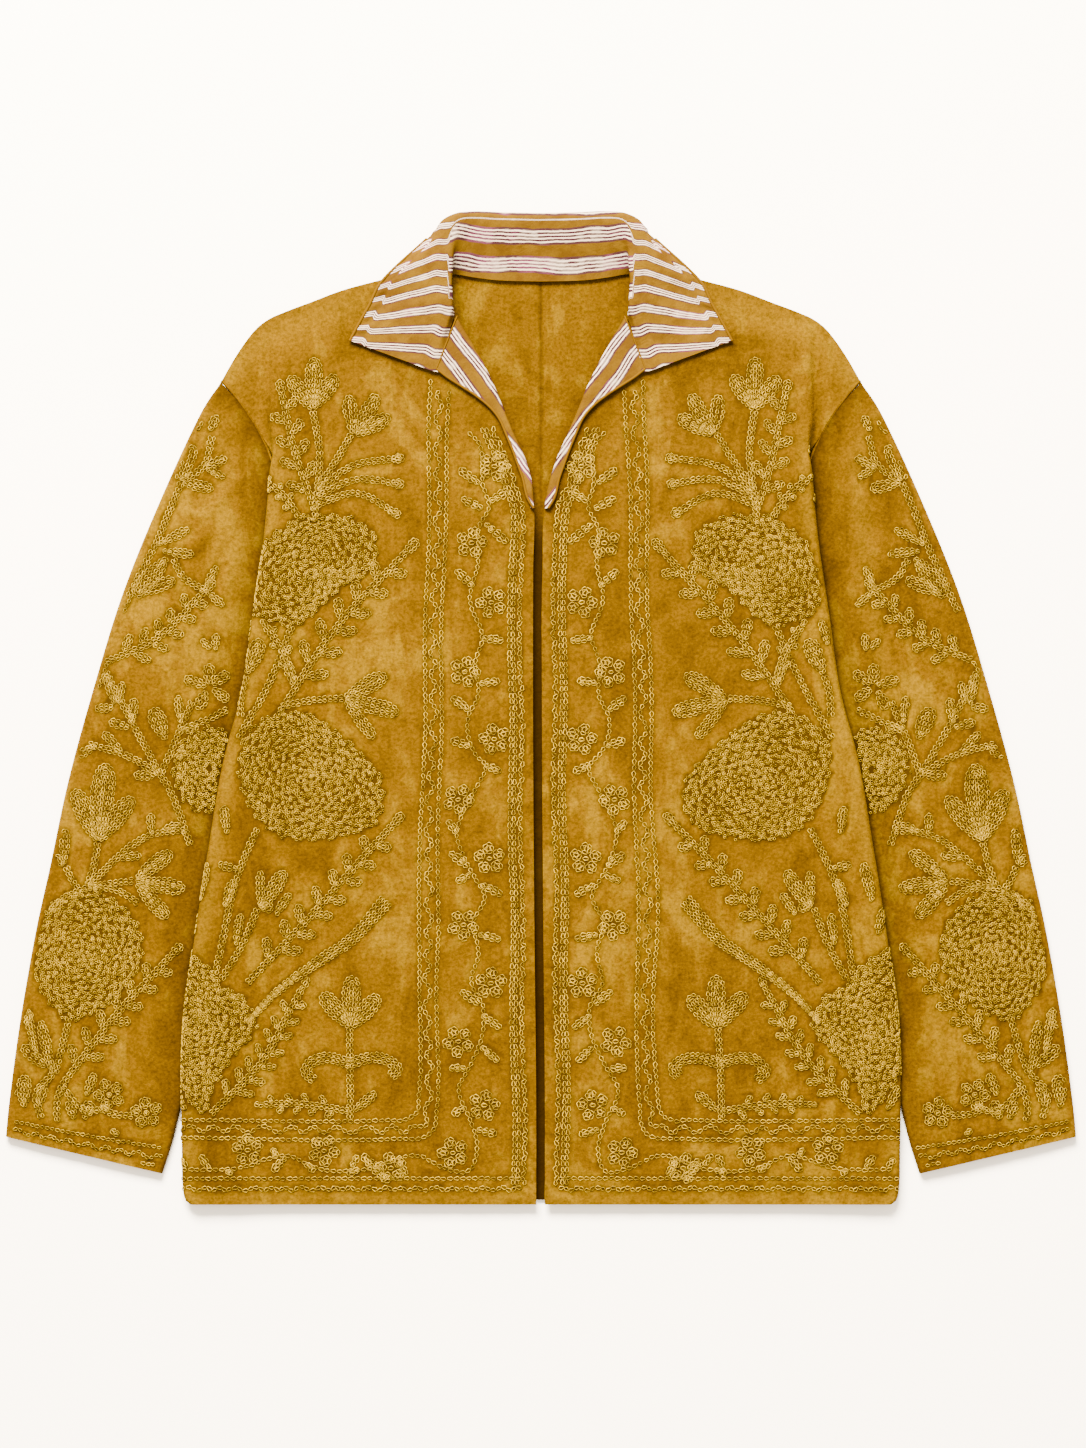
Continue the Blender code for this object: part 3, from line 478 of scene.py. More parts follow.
def front_section(side, across, y, crease=1.0):
    """Place and height of a front's outer face.

    across runs 0 to 1 over the panel from the centre edge to the side fold, 1 to 2 round that fold, and
    2 to 3 along what follows. Above the underarm that is a valley running out to the armhole. Below it the
    cloth turns back under itself, over the tucked edge of the sleeve, and down to the side seam.
    """
    fold = side_fold(y)
    fold_x, fold_z, low_z = fold["fold_x"], fold["fold_z"], fold["low_z"]
    radius = (fold_z - low_z) / 2.0
    under = ease((200 * MM - y) / (35 * MM))
    joins_back = ease((118 * MM - y) / (32 * MM))
    armhole = sleeve_side_x(y)
    tuck = fold_x - armhole

    valley_end = np.maximum(armhole - fold_x - SEAM / 2, 1.0 * MM)
    valley_start = np.minimum(8.0 * MM, 0.6 * valley_end)
    roll_end = mix(valley_start, -radius, under)
    run_mid = mix((valley_start + valley_end) / 2, -np.maximum(tuck - 2.5 * MM, radius + 0.8 * MM), under)
    run_end = mix(valley_end, -np.maximum(tuck + RETURN_OVERLAP * joins_back, radius + 2.4 * MM), under)
    seam_z = mix(low_z, mix(low_z, 2.9 * MM, joins_back), under)
    turn = -math.pi * under
    grip = mix(0.55 * (valley_start + radius), 4.0 / 3.0 * radius, under)

    panel = np.clip(across, 0.0, 1.0)
    roll = np.clip(across - 1.0, 0.0, 1.0)
    run = np.clip(across - 2.0, 0.0, 1.0)
    start_x = front_edge_x(side, y)
    panel_x = mix(start_x, fold_x - radius, panel)
    puff = PANEL_PUFF * ease(panel / 0.3) * ease((200 * MM - y) / (60 * MM)) * ease((y - HEM_Y) / (50 * MM))
    flat_z = np.minimum(FRONT_Z, fold_z) + puff
    panel_z = mix(flat_z, fold_z, ease((panel - 0.68) / 0.32))
    panel_z = panel_z + fold_height(FRONT_FOLDS, panel_x, y) * ease(panel / 0.1) * ease((1 - panel) / 0.08)
    panel_z = panel_z + front_creases(side, panel_x, y, panel) * crease

    roll_x = bezier(fold_x - radius, fold_x - radius + grip, fold_x + roll_end - grip * np.cos(turn),
                    fold_x + roll_end, roll)
    roll_z = bezier(fold_z, fold_z, low_z - grip * np.sin(turn), low_z, roll)
    half = np.clip(run * 2.0, 0.0, 1.0)
    rest = np.clip(run * 2.0 - 1.0, 0.0, 1.0)
    run_x = fold_x + mix(mix(roll_end, run_mid, half), run_end, rest)
    run_z = mix(low_z, seam_z, rest * rest)

    x = np.where(across <= 1.0, panel_x, np.where(across <= 2.0, roll_x, run_x))
    z = np.where(across <= 1.0, panel_z, np.where(across <= 2.0, roll_z, run_z))
    return x, z


def front_creases(side, x, y, panel):
    """Small creases of a front, its pinched centre edge and its wavy hem, fading out at the side fold."""
    creases = fold_height(CREASES["front_left" if side > 0 else "front_right"], x, y)
    from_edge = x - front_edge_x(side, y)
    from_hem = y - HEM_Y
    pinch = np.sin(y * 2 * math.pi / (15.5 * MM) + 1.4 * np.sin(y * 2 * math.pi / (61 * MM)) + side)
    hem_pinch = np.sin(x * 2 * math.pi / (17.0 * MM) + 1.4 * np.sin(x * 2 * math.pi / (53 * MM)) + side)
    piped = 0.30 * MM * pinch * np.exp(-(((from_edge - 5 * MM) / (5 * MM)) ** 2))
    hemmed = 0.30 * MM * hem_pinch * np.exp(-(((from_hem - 5 * MM) / (5 * MM)) ** 2))
    groove = -0.45 * MM * np.exp(-(((from_edge - 10.5 * MM) / (1.8 * MM)) ** 2))
    hem_groove = -0.45 * MM * np.exp(-(((from_hem - 9.5 * MM) / (1.8 * MM)) ** 2))
    calm = ease((1 - panel) / 0.05)
    inside = ease(from_edge / (6 * MM))
    below = ease((215 * MM - y) / (30 * MM))
    soft = inside * (creases + 0.22 * MM * ripple(x, y, side))
    return calm * (soft + (piped + groove) * below + hemmed + hem_groove)


def front_outer(side, across, rise):
    """Grid of points on a front's outer face, from the hem (rise 0) to the shoulder (rise 1)."""
    top = np.full(across.shape, 280 * MM)
    for _ in range(30):  # the shoulder's height and the panel's place there settle together
        x, _z = front_section(side, across, top)
        top = mix(top, smooth(x, SHOULDER["x"], SHOULDER["y"]), 0.6)
    y = mix(HEM_Y, top[None, :], rise[:, None])
    x, z = front_section(side, across[None, :] + 0.0 * y, y)
    low = np.minimum(z, SHOULDER_Z)
    z = mix(low, z, ease((top[None, :] - y) / (26 * MM)))
    return np.stack([side * x, y, z], axis=-1)


def front_at(side, x, y):
    """Point of a front for a distance out from the centre line, measured along the cloth round its fold."""
    fold = side_fold(y)
    radius = (fold["fold_z"] - fold["low_z"]) / 2.0
    start_x, end_x = front_edge_x(side, y), fold["fold_x"] - radius
    across = np.where(x <= end_x, (x - start_x) / (end_x - start_x), 1.0 + (x - end_x) / (math.pi * radius))
    place_x, z = front_section(side, np.clip(across, 0.0, 2.0), y)
    top = smooth(place_x, SHOULDER["x"], SHOULDER["y"])
    z = mix(np.minimum(z, SHOULDER_Z), z, ease((top - y) / (26 * MM)))
    return np.stack([side * place_x, y, z], axis=-1)


def front_has(side, x, y):
    """True where a stitch at this distance out lies on a part of the front that shows."""
    fold = side_fold(y)
    radius = (fold["fold_z"] - fold["low_z"]) / 2.0
    open_below = y < 165 * MM
    limit = np.where(open_below, fold["fold_x"] + 0.9 * radius, fold["fold_x"] + 1.0 * MM)
    return (x < limit) & (x > front_edge_x(side, y) + 4 * MM) & (y > HEM_Y + 4 * MM)


def back_outer(side, across, rise):
    """Grid of points on the inner face of half the back, which lies flat with that face up."""
    def side_x(y):
        """The back's side edge at a height."""
        beside_sleeve = sleeve_side_x(y) - 1.0 * MM
        return np.where(y < 0.0, np.minimum(beside_sleeve, side_fold(y)["fold_x"] - 3.0 * MM), beside_sleeve)

    top = np.full(across.shape, 280 * MM)
    for _ in range(30):
        x = side_x(top) * across
        neck = smooth(x, BACK_NECK["x"], BACK_NECK["y"])
        shoulder = smooth(x, SHOULDER["x"], SHOULDER["y"])
        top = mix(top, np.where(x < BACK_NECK["x"][-1], neck, shoulder), 0.6)
    y = mix(BACK_HEM_Y, top[None, :], rise[:, None])
    x = side_x(y) * across[None, :]
    return np.stack([side * x, y, np.full(y.shape, WALL)], axis=-1)


def sleeve_at_share(side, down, share, level=1.0, reach=0.0, depth=0.0):
    """Point of a sleeve: down runs from armhole to cuff, share from the tucked edge to the outer one.

    level is 1 on the upper layer and -1 on the one that rests, reach the distance beyond the flat part of
    the loop, and depth how far inside the outer face the point lies.
    """
    at = along_rows(SLEEVE, down)
    wide_x, wide_y = at["outer_x"] - at["inner_x"], at["outer_y"] - at["inner_y"]
    width = np.hypot(wide_x, wide_y)
    unit_x, unit_y = wide_x / width, wide_y / width
    outwards = np.where(share > 0.5, 1.0, -1.0)
    place = mix(SLEEVE_EDGE_RADIUS, width - SLEEVE_EDGE_RADIUS, share) + outwards * reach
    bow = ARMHOLE_BOW * 4.0 * share * (1.0 - share) * (1.0 - ease(down / 0.22))
    clear = SLEEVE_CLEAR * ease(1.0 - down / 0.02)
    x = at["inner_x"] + unit_x * place - unit_y * bow + clear * unit_y
    y = at["inner_y"] + unit_y * place + unit_x * bow - clear * unit_x
    beside_body = x - np.maximum(side_fold(y)["fold_x"], sleeve_side_x(y))
    calm = ease((beside_body - 1 * MM) / (30 * MM)) * ease((width - place) / (28 * MM))
    crown = (at["puff"] + fold_height(SLEEVE_FOLDS, x, y)) * calm
    cuff = (1.0 - down) * 450 * MM
    pinch = np.sin(share * 55 + 2 * np.sin(share * 14) + side)
    near_body = ease((beside_body - 1 * MM) / (8 * MM)) * ease((width - place) / (9 * MM))
    fine = fold_height(CREASES["sleeve_left" if side > 0 else "sleeve_right"], x, y)
    fine = fine * ease(down / 0.05) * ease((1.0 - down) / 0.06) + 0.22 * MM * ripple(x, y, side + 3)
    fine = fine + 0.25 * MM * pinch * np.exp(-(((cuff - 5 * MM) / (5 * MM)) ** 2))
    fine = fine - 0.4 * MM * np.exp(-(((cuff - 10 * MM) / (1.8 * MM)) ** 2))
    high = 2.0 * SLEEVE_EDGE_RADIUS - depth + crown + fine * near_body
    z = mix(depth, high, (level + 1.0) / 2.0)
    return np.stack([side * x, y, z], axis=-1)


def sleeve_shares(x, y):
    """The way down a sleeve and across it for points seen from above, by Newton's method."""
    down, share = np.full(np.shape(x), 0.5), np.full(np.shape(x), 0.5)
    step = 1e-4
    for _ in range(14):
        here = sleeve_at_share(1.0, down, share)
        by_down = (sleeve_at_share(1.0, down + step, share) - here) / step
        by_share = (sleeve_at_share(1.0, down, share + step) - here) / step
        miss_x, miss_y = x - here[..., 0], y - here[..., 1]
        turn = by_down[..., 0] * by_share[..., 1] - by_down[..., 1] * by_share[..., 0]
        down = down + 0.8 * (miss_x * by_share[..., 1] - miss_y * by_share[..., 0]) / turn
        share = share + 0.8 * (by_down[..., 0] * miss_y - by_down[..., 1] * miss_x) / turn
        down, share = np.clip(down, 0.0, 0.999), np.clip(share, -0.3, 1.3)
    return down, share


def sleeve_at(side, x, y):
    """Point on a sleeve's upper layer for a place seen from above."""
    down, share = sleeve_shares(x, y)
    return sleeve_at_share(side, down, np.clip(share, 0.0, 1.0))


def sleeve_has(side, x, y):
    """True where a stitch lies on a part of the sleeve that shows."""
    down, share = sleeve_shares(x, y)
    beside_body = x - np.maximum(side_fold(y)["fold_x"], sleeve_side_x(y))
    return (share > 0.01) & (share < 0.99) & (down > 0.01) & (down < 0.985) & (beside_body > 1.5 * MM)


def sleeve_face(side, depth, flat_steps, edge_steps, rows):
    """Grid of loops down a sleeve, at a depth inside its outer face."""
    flat = np.linspace(0.0, 1.0, flat_steps + 1)
    bend = np.linspace(-math.pi / 2, math.pi / 2, edge_steps + 1)[1:-1]
    share = np.concatenate([flat, np.ones(len(bend)), flat[::-1], np.zeros(len(bend))])
    level = np.concatenate([np.ones(len(flat)), -np.sin(bend), -np.ones(len(flat)), np.sin(bend)])
    reach = np.concatenate([np.zeros(len(flat)), np.cos(bend), np.zeros(len(flat)), np.cos(bend)])
    down = np.linspace(0.0, 1.0, rows + 1)[:, None]
    reach = reach * (SLEEVE_EDGE_RADIUS - depth)
    return sleeve_at_share(side, down, share[None, :], level[None, :], reach[None, :], depth)


def collar_section(at, t):
    """Striped face of the collar at the rows in at: t is 0 to 1 up the stand and 1 to 2 down the fall."""
    neck = np.stack([at["neck_x"], at["neck_y"], at["neck_z"]], axis=-1)
    fold = np.stack([at["fold_x"], at["fold_y"], at["fold_z"]], axis=-1)
    edge = np.stack([at["edge_x"], at["edge_y"], at["edge_z"]], axis=-1)
    turn = at["turn_deg"]
    out = np.stack([np.cos(turn), np.sin(turn), np.zeros_like(turn)], axis=-1)
    up = np.array((0.0, 0.0, 1.0))
    stand = np.linalg.norm(fold - neck, axis=-1, keepdims=True)
    heading = (fold - neck) * np.array((1.0, 1.0, 0.0))
    heading = heading / np.linalg.norm(heading, axis=-1, keepdims=True)
    lean = at["lean_deg"][..., None]
    climb = heading * np.cos(lean) + up * np.sin(lean)
    grip = np.clip(0.35 * stand, 2.0 * MM, 9.0 * MM)
    first, last = np.clip(t, 0.0, 1.0)[..., None], np.clip(t - 1.0, 0.0, 1.0)[..., None]
    lower = bezier(neck, neck + 0.38 * stand * climb, fold - grip * out, fold, first)
    upper = bezier(fold, fold + grip * out, edge + at["reach"][..., None] * out + at["rise"][..., None] * up,
                   edge, last)
    return np.where(t[..., None] <= 1.0, lower, upper)


def collar_outer(half_rows, stand_steps, fall_steps):
    """Grid over the whole collar from the right wing to the left one, its stripe phase and stripe width.

    The phase is a whole number in the middle of each group of pale lines. It is read from the place seen
    from above, so that stripes follow the neck seam on the stand and lie nearly level on the wings. Behind
    the neck they follow the fold, 20.4 mm apart down the cloth.
    """
    half = np.linspace(0.0, 1.0, half_rows + 1)
    share = np.concatenate([half[::-1], half[1:]])
    side = np.concatenate([-np.ones(half_rows), np.ones(half_rows + 1)])
    t = np.concatenate([np.linspace(0.0, 1.0, stand_steps + 1), np.linspace(1.0, 2.0, fall_steps + 1)[1:]])
    at = along_rows(COLLAR, share[:, None] + 0.0 * t[None, :])
    points = collar_section(at, t[None, :] + 0.0 * share[:, None])
    x, y = points[..., 0], points[..., 1]
    out = np.maximum(x - at["fold_x"], 0.0)
    level = (y - 1.770 * out) / (1.0 - 6.5 * np.minimum(out, 75 * MM))
    level = level + 3.0 * MM * (1.0 - ease(out / (9 * MM)))
    level = np.where(level > 345 * MM, 345 * MM + 0.8 * (level - 345 * MM), level)
    on_wing = (t[None, :] > 0.97) | (share[:, None] > 0.72)
    on_stand = y - 0.75 * (at["neck_y"] - at["neck_y"][half_rows]) * (share[:, None] <= 0.5)
    runs = np.linalg.norm(np.diff(points, axis=1, append=points[:, -1:]), axis=-1)
    from_edge = np.cumsum(runs[:, ::-1], axis=1)[:, ::-1]
    behind = 9.4 - (from_edge[:, stand_steps, None] - from_edge) / (20.4 * MM)
    sideways = ease((share[:, None] - 0.22) / 0.14)
    fallen = mix(behind, np.interp(level, WING_STRIPES, np.arange(len(WING_STRIPES))), sideways)
    phase = np.where(on_wing, fallen, np.interp(on_stand, STAND_STRIPES, np.arange(len(STAND_STRIPES))))
    phase = phase + 6.0 * (1.0 - on_wing)
    phase = phase - 0.32 * on_wing * ease((11.5 * MM - from_edge) / (2.5 * MM)) * (share[:, None] > 0.4)
    width = np.where(on_wing, mix(0.24, mix(0.185, 0.22, share[:, None]), sideways), 0.256)

    points = points * np.stack([side, np.ones_like(side), np.ones_like(side)], axis=-1)[:, None, :]
    steps = np.diff(points[:, -1], axis=0, prepend=points[:1, -1])
    along = np.cumsum(np.linalg.norm(steps, axis=-1))[:, None]
    pucker = 0.45 * MM * np.sin(along * 2 * math.pi / (8.6 * MM) + 1.6 * np.sin(along / (9 * MM)))
    pucker = pucker * np.exp(-((from_edge - 5 * MM) / (5 * MM)) ** 2)
    groove = -0.55 * MM * np.exp(-(((from_edge - 9.5 * MM) / (1.5 * MM)) ** 2))
    soft = 0.5 * MM * ripple(points[..., 0], points[..., 1], 8)
    soft = soft + 0.5 * MM * ripple(x * 2.1, y * 2.1, side[:, None])
    shown = ease((share[:, None] - 0.30) / 0.1) * ease(from_edge / (3 * MM)) * ease((t[None, :] - 1.05) / 0.2)
    lift = shown * (pucker + groove + soft * ease((1.0 - share[:, None]) / 0.1))
    return points - lift[..., None] * grid_normals(points), phase, width


def lapel_outer(side, across, rise):
    """Striped face of a turned-back lapel: up round the rolled edge, then out to its free edge."""
    at = along_rows(LAPEL, rise[:, None] + 0.0 * across[None, :])
    shift = smooth(at["roll_y"], CENTRE_EDGE["y"], CENTRE_EDGE["shift"])
    roll = np.stack([at["roll_x"] + side * shift, at["roll_y"]], axis=-1)
    edge = np.stack([at["edge_x"], at["edge_y"]], axis=-1)
    run = edge - roll
    width = np.linalg.norm(run, axis=-1, keepdims=True)
    out = run / width
    top = FRONT_Z + SEAM + WALL
    radius = np.minimum(3.2 * MM, 0.45 * width[..., 0])
    height = top + 1.2 * MM * ease((width[..., 0] - 6 * MM) / (10 * MM))
    wall_part = np.clip(across / 0.3, 0.0, 1.0)
    bend = np.clip((across - 0.3) / 0.35, 0.0, 1.0) * math.pi / 2
    flat = np.clip((across - 0.65) / 0.35, 0.0, 1.0)
    reach = radius * (1.0 - np.cos(bend)) + (width[..., 0] - radius) * flat
    z = mix(3.0 * MM, height - radius, wall_part) + radius * np.sin(bend)
    z = mix(z, top, ease(flat))
    plan = roll + out * reach[..., None]
    return np.stack([side * plan[..., 0], plan[..., 1], z], axis=-1)


def grid_normals(points, closed=False):
    """Unit normals of a grid, from the directions along its rows and its columns."""
    if closed:
        wrapped = np.concatenate([points[:, -1:], points, points[:, :1]], axis=1)
        across = (wrapped[:, 2:] - wrapped[:, :-2]) / 2.0
    else:
        across = np.gradient(points, axis=1)
    along = np.gradient(points, axis=0)
    normal = np.cross(across, along)
    return normal / np.linalg.norm(normal, axis=-1, keepdims=True)


def wall_faces(rows, columns, closed=False):
    """Faces of a wall whose outer grid is followed by an inner one with every other of its rows and columns.

    The first group holds both grids' faces, with four corners, and the second the rim's, with five.
    """
    outer = np.arange(rows * columns).reshape(rows, columns)
    shape = outer[::2, ::2].shape
    inner = rows * columns + np.arange(shape[0] * shape[1]).reshape(shape)
    if closed:
        outer = np.concatenate([outer, outer[:, :1]], axis=1)
        inner = np.concatenate([inner, inner[:, :1]], axis=1)
    front = np.stack([outer[:-1, :-1], outer[:-1, 1:], outer[1:, 1:], outer[1:, :-1]], axis=-1)
    behind = np.stack([inner[:-1, :-1], inner[1:, :-1], inner[1:, 1:], inner[:-1, 1:]], axis=-1)
    loops = [(outer[0], inner[0], 1), (outer[-1], inner[-1], -1)]
    if not closed:
        loops += [(outer[:, 0], inner[:, 0], -1), (outer[:, -1], inner[:, -1], 1)]
    rims = []
    for top, bottom, way in loops:
        rim = np.stack([top[:-1:2], bottom[:-1], bottom[1:], top[2::2], top[1::2]], axis=-1)
        rims.append(rim if way > 0 else rim[:, ::-1])
    return [np.concatenate([front.reshape(-1, 4), behind.reshape(-1, 4)]), np.concatenate(rims)]


def facing_outwards(points, groups):
    """The groups of faces, all turned over if the volume they enclose comes out negative."""
    volume = 0.0
    for faces in groups:
        corners = points[faces]
        sizes = np.cross(corners, np.roll(corners, -1, axis=1)).sum(axis=1)
        volume += np.einsum("ij,ij->i", sizes, corners.mean(axis=1)).sum()
    return [faces[:, ::-1] if volume < 0 else faces for faces in groups]


def add_piece(name, points, groups, material, values=(), sharp_deg=50):
    """A mesh object at the origin with its place in the vertices, and float attributes by name.

    Each group is an array of faces with one number of corners.
    """
    old = bpy.data.objects.get(name)
    if old is not None:
        bpy.data.objects.remove(old)
    mesh = bpy.data.meshes.new(name)
    mesh.from_pydata(points.tolist(), [], sum((faces.tolist() for faces in groups), []))
    for attribute, numbers in dict(values).items():
        made = mesh.attributes.new(attribute, "FLOAT", "POINT")
        made.data.foreach_set("value", np.asarray(numbers, np.float32).ravel())
    mesh.materials.append(material)
    mesh.shade_smooth()
    if sharp_deg:
        mesh.set_sharp_from_angle(angle=math.radians(sharp_deg))
    piece = bpy.data.objects.new(name, mesh)
    bpy.context.scene.collection.objects.link(piece)
    return piece


def add_wall(name, outer, inner, material, values, closed=False):
    """One closed wall from an outer and an inner grid of the same size.

    The wall keeps every other row and column of the inner grid, so an open grid has an odd number of each.
    """
    rows, columns = outer.shape[:2]
    points = np.concatenate([outer.reshape(-1, 3), inner[::2, ::2].reshape(-1, 3)])
    groups = facing_outwards(points, wall_faces(rows, columns, closed))
    both = {}
    for key, numbers in values.items():
        both[key] = np.concatenate([np.ravel(numbers), np.ravel(numbers[::2, ::2])])
    return add_piece(name, points, groups, material, both)


def tube(path, radius, sides):
    """Points and face groups of a round cord along a path: rings, with a flat cap at each end."""
    run = np.gradient(path, axis=0)
    run = run / np.linalg.norm(run, axis=-1, keepdims=True)
    aside = np.cross(run, np.array((0.0, 0.0, 1.0)))
    aside = aside / np.linalg.norm(aside, axis=-1, keepdims=True)
    over = np.cross(aside, run)
    turn = np.arange(sides) * 2 * math.pi / sides
    ring = np.cos(turn)[None, :, None] * aside[:, None, :] + np.sin(turn)[None, :, None] * over[:, None, :]
    points = (path[:, None, :] + radius * ring).reshape(-1, 3)
    index = np.arange(len(path) * sides).reshape(len(path), sides)
    after = np.roll(index, -1, axis=1)
    faces = np.stack([index[:-1], after[:-1], after[1:], index[1:]], axis=-1).reshape(-1, 4)
    fan = [(0, k, k + 1, k + 2) for k in range(1, sides - 2, 2)]
    caps = [index[0][list(quad)[::-1]] for quad in fan] + [index[-1][list(quad)] for quad in fan]
    faces = np.concatenate([faces, np.array(caps)])
    return points, facing_outwards(points, [faces])


def curve_through(points, count=60):
    """Smooth curve through a few places, read at equal shares of its chord length."""
    points = np.asarray(points, float) * MM
    knots = np.concatenate([[0.0], np.cumsum(np.hypot(*np.diff(points, axis=0).T))])
    at = np.linspace(0.0, knots[-1], count)
    return np.stack([smooth(at, knots, points[:, 0]), smooth(at, knots, points[:, 1])], axis=-1)


def loop_through(points, count=160):
    """Smooth closed curve through places round a shape."""
    points = np.asarray(points, float)
    wrapped = np.concatenate([points[-3:], points, points[:4]]) * MM
    knots = np.concatenate([[0.0], np.cumsum(np.hypot(*np.diff(wrapped, axis=0).T))])
    at = np.linspace(knots[3], knots[3 + len(points)], count)
    return np.stack([smooth(at, knots, wrapped[:, 0]), smooth(at, knots, wrapped[:, 1])], axis=-1)


def offset_curve(path, distance):
    """The path moved sideways by a distance."""
    run = np.gradient(path, axis=0)
    run = run / np.linalg.norm(run, axis=-1, keepdims=True)
    return path + distance * np.stack([-run[:, 1], run[:, 0]], axis=-1)


def links_along(path, pitch, loose=0.10, size=1.0):
    """Middle and heading of each link of a row of chain stitch, how loosely it lies and its size."""
    lengths = np.concatenate([[0.0], np.cumsum(np.hypot(*np.diff(path, axis=0).T))])
    count = max(1, int(round(lengths[-1] / pitch)))
    ends = np.linspace(0.0, lengths[-1], count + 1)
    x, y = np.interp(ends, lengths, path[:, 0]), np.interp(ends, lengths, path[:, 1])
    heading = np.arctan2(np.diff(y), np.diff(x))
    middle_x, middle_y = (x[1:] + x[:-1]) / 2, (y[1:] + y[:-1]) / 2
    return np.stack([middle_x, middle_y, heading, np.full(count, loose), np.full(count, size)], axis=-1)


def double_row(path, row):
    """Two rows side by side along a path."""
    return [offset_curve(path, 0.45 * row), offset_curve(path, -0.45 * row)]


def wave_along(path, period, height):
    """The path with a rounded zigzag of that period and height added to it."""
    lengths = np.concatenate([[0.0], np.cumsum(np.hypot(*np.diff(path, axis=0).T))])
    at = np.linspace(0.0, lengths[-1], int(lengths[-1] / (period / 16)))
    dense = np.stack([np.interp(at, lengths, path[:, 0]), np.interp(at, lengths, path[:, 1])], axis=-1)
    swing = np.sin(at * 2 * math.pi / period + 0.8 * np.sin(at * 2 * math.pi / (period * 3.7)))
    return offset_curve(dense, 0.0) + (offset_curve(dense, 1.0) - dense) * (height * swing)[:, None]


def petal_rows(base, tip, width, row):
    """Paths of a petal: closed loops from its outline inwards, and a line up its middle where one fits.

    A loop runs from the base to the tip and back; its half width swells towards the tip.
    """
    base, tip = np.asarray(base, float), np.asarray(tip, float)
    length = np.linalg.norm(tip - base)
    ahead = (tip - base) / length
    beside = np.array((-ahead[1], ahead[0]))
    turn = np.linspace(0.0, 2 * math.pi, 49)
    share = 0.5 - 0.5 * np.cos(turn)
    rows = []
    for k in range(8):
        inset = (k + 0.5) * row
        wide = width - 2 * inset
        if wide < -0.2 * row or length < 2.2 * inset:
            break
        if wide < 0.8 * row:
            ends = np.linspace(inset, length - inset, 8)
            rows.append(base + ends[:, None] * ahead)
            break
        along = inset + (length - 2 * inset) * share
        aside = wide / 2 * np.sin(turn) * (0.58 + 0.72 * share)
        rows.append(base + along[:, None] * ahead + aside[:, None] * beside)
        if 1.1 * row < wide < 1.8 * row:
            ends = np.linspace(inset + 1.2 * row, length - inset - row, 6)
            rows.append(base + ends[:, None] * ahead)
    return rows


def patch_rows(outline, row, draw):
    """Paths that fill a broad flower head: a scalloped rim, then wavy rows shrinking towards the middle."""
    path = loop_through(outline)
    centre = path.mean(axis=0)
    out = path - centre
    reach = np.linalg.norm(out, axis=-1)
    unit = out / reach[:, None]
    around = np.linspace(0.0, 2 * math.pi, len(path))
    perimeter = np.hypot(*np.diff(path, axis=0).T).sum()
    scallops = round(perimeter / (11.5 * MM))
    rim = 5.0 * MM * (np.abs(np.sin(around * scallops / 2)) - 0.78)
    rows = [centre + unit * (reach + rim)[:, None]]
    count = int(reach.mean() / row)
    for k in range(1, count):
        share = 1.0 - (k + 0.2) * row / reach.mean()
        swing = 0.7 * row * np.sin(around * (4 + round(share * 17)) + draw.uniform(0, 6.3))
        swing = swing + 0.9 * rim * max(0.0, 1.0 - k / 2.5)
        rows.append(centre + unit * (reach * share + swing)[:, None])
    return rows


def spray_rows(start, middle, end, pairs, length, width, row):
    """Paths of a spray: a double stem with leaflets on its two sides by turns, and one at its tip."""
    stem = curve_through([start, middle, end])
    rows = double_row(stem, row)
    for k in range(2 * pairs):
        share = 0.12 + 0.78 * (k + 0.5) / (2 * pairs)
        i = int(share * 59)
        run = stem[min(i + 1, 59)] - stem[i]
        heading = math.atan2(run[1], run[0]) + (0.82 if k % 2 else -0.82)
        size = length * MM * (1.12 - 0.35 * share)
        root = stem[i] + 1.5 * MM * np.array((math.cos(heading), math.sin(heading)))
        tip = root + size * np.array((math.cos(heading), math.sin(heading)))
        rows += petal_rows(root, tip, width * MM, row)
    run = (stem[-1] - stem[-6]) / np.linalg.norm(stem[-1] - stem[-6])
    return rows + petal_rows(stem[-1] - 2 * MM * run, stem[-1] + 0.8 * length * MM * run, width * MM, row)


def flower_rows(centre, size, turn, row):
    """Paths of a small five-petalled flower: a ring for each petal with a short row inside, and a heart."""
    centre = np.asarray(centre, float) * MM
    around = np.linspace(0.0, 2 * math.pi, 25)
    ring = np.stack([np.cos(around), np.sin(around)], axis=-1)
    rows = [centre + 0.07 * size * ring]
    for k in range(5):
        heading = turn + k * 2 * math.pi / 5
        ahead = np.array((math.cos(heading), math.sin(heading)))
        rows.append(centre + 0.30 * size * ahead + (0.205 * size - row / 2) * ring)
        rows.append(centre + 0.30 * size * ahead + np.linspace(-0.05, 0.05, 3)[:, None] * size * ahead)
    return rows


def club_rows(points, head_width, row):
    """Paths of a long thin stalk that ends in a rounded head."""
    stalk = curve_through(points)
    run = (stalk[-1] - stalk[-6]) / np.linalg.norm(stalk[-1] - stalk[-6])
    rows = double_row(stalk, row)
    return rows + petal_rows(stalk[-1] - 9 * MM * run, stalk[-1] + 3 * MM * run, head_width, row)


def table_petals(petals, row):
    """Paths of every petal in a table."""
    rows = []
    for i in range(len(petals["width"])):
        base = (petals["base_x"][i], petals["base_y"][i])
        tip = (petals["tip_x"][i], petals["tip_y"][i])
        rows += petal_rows(base, tip, petals["width"][i], row)
    return rows


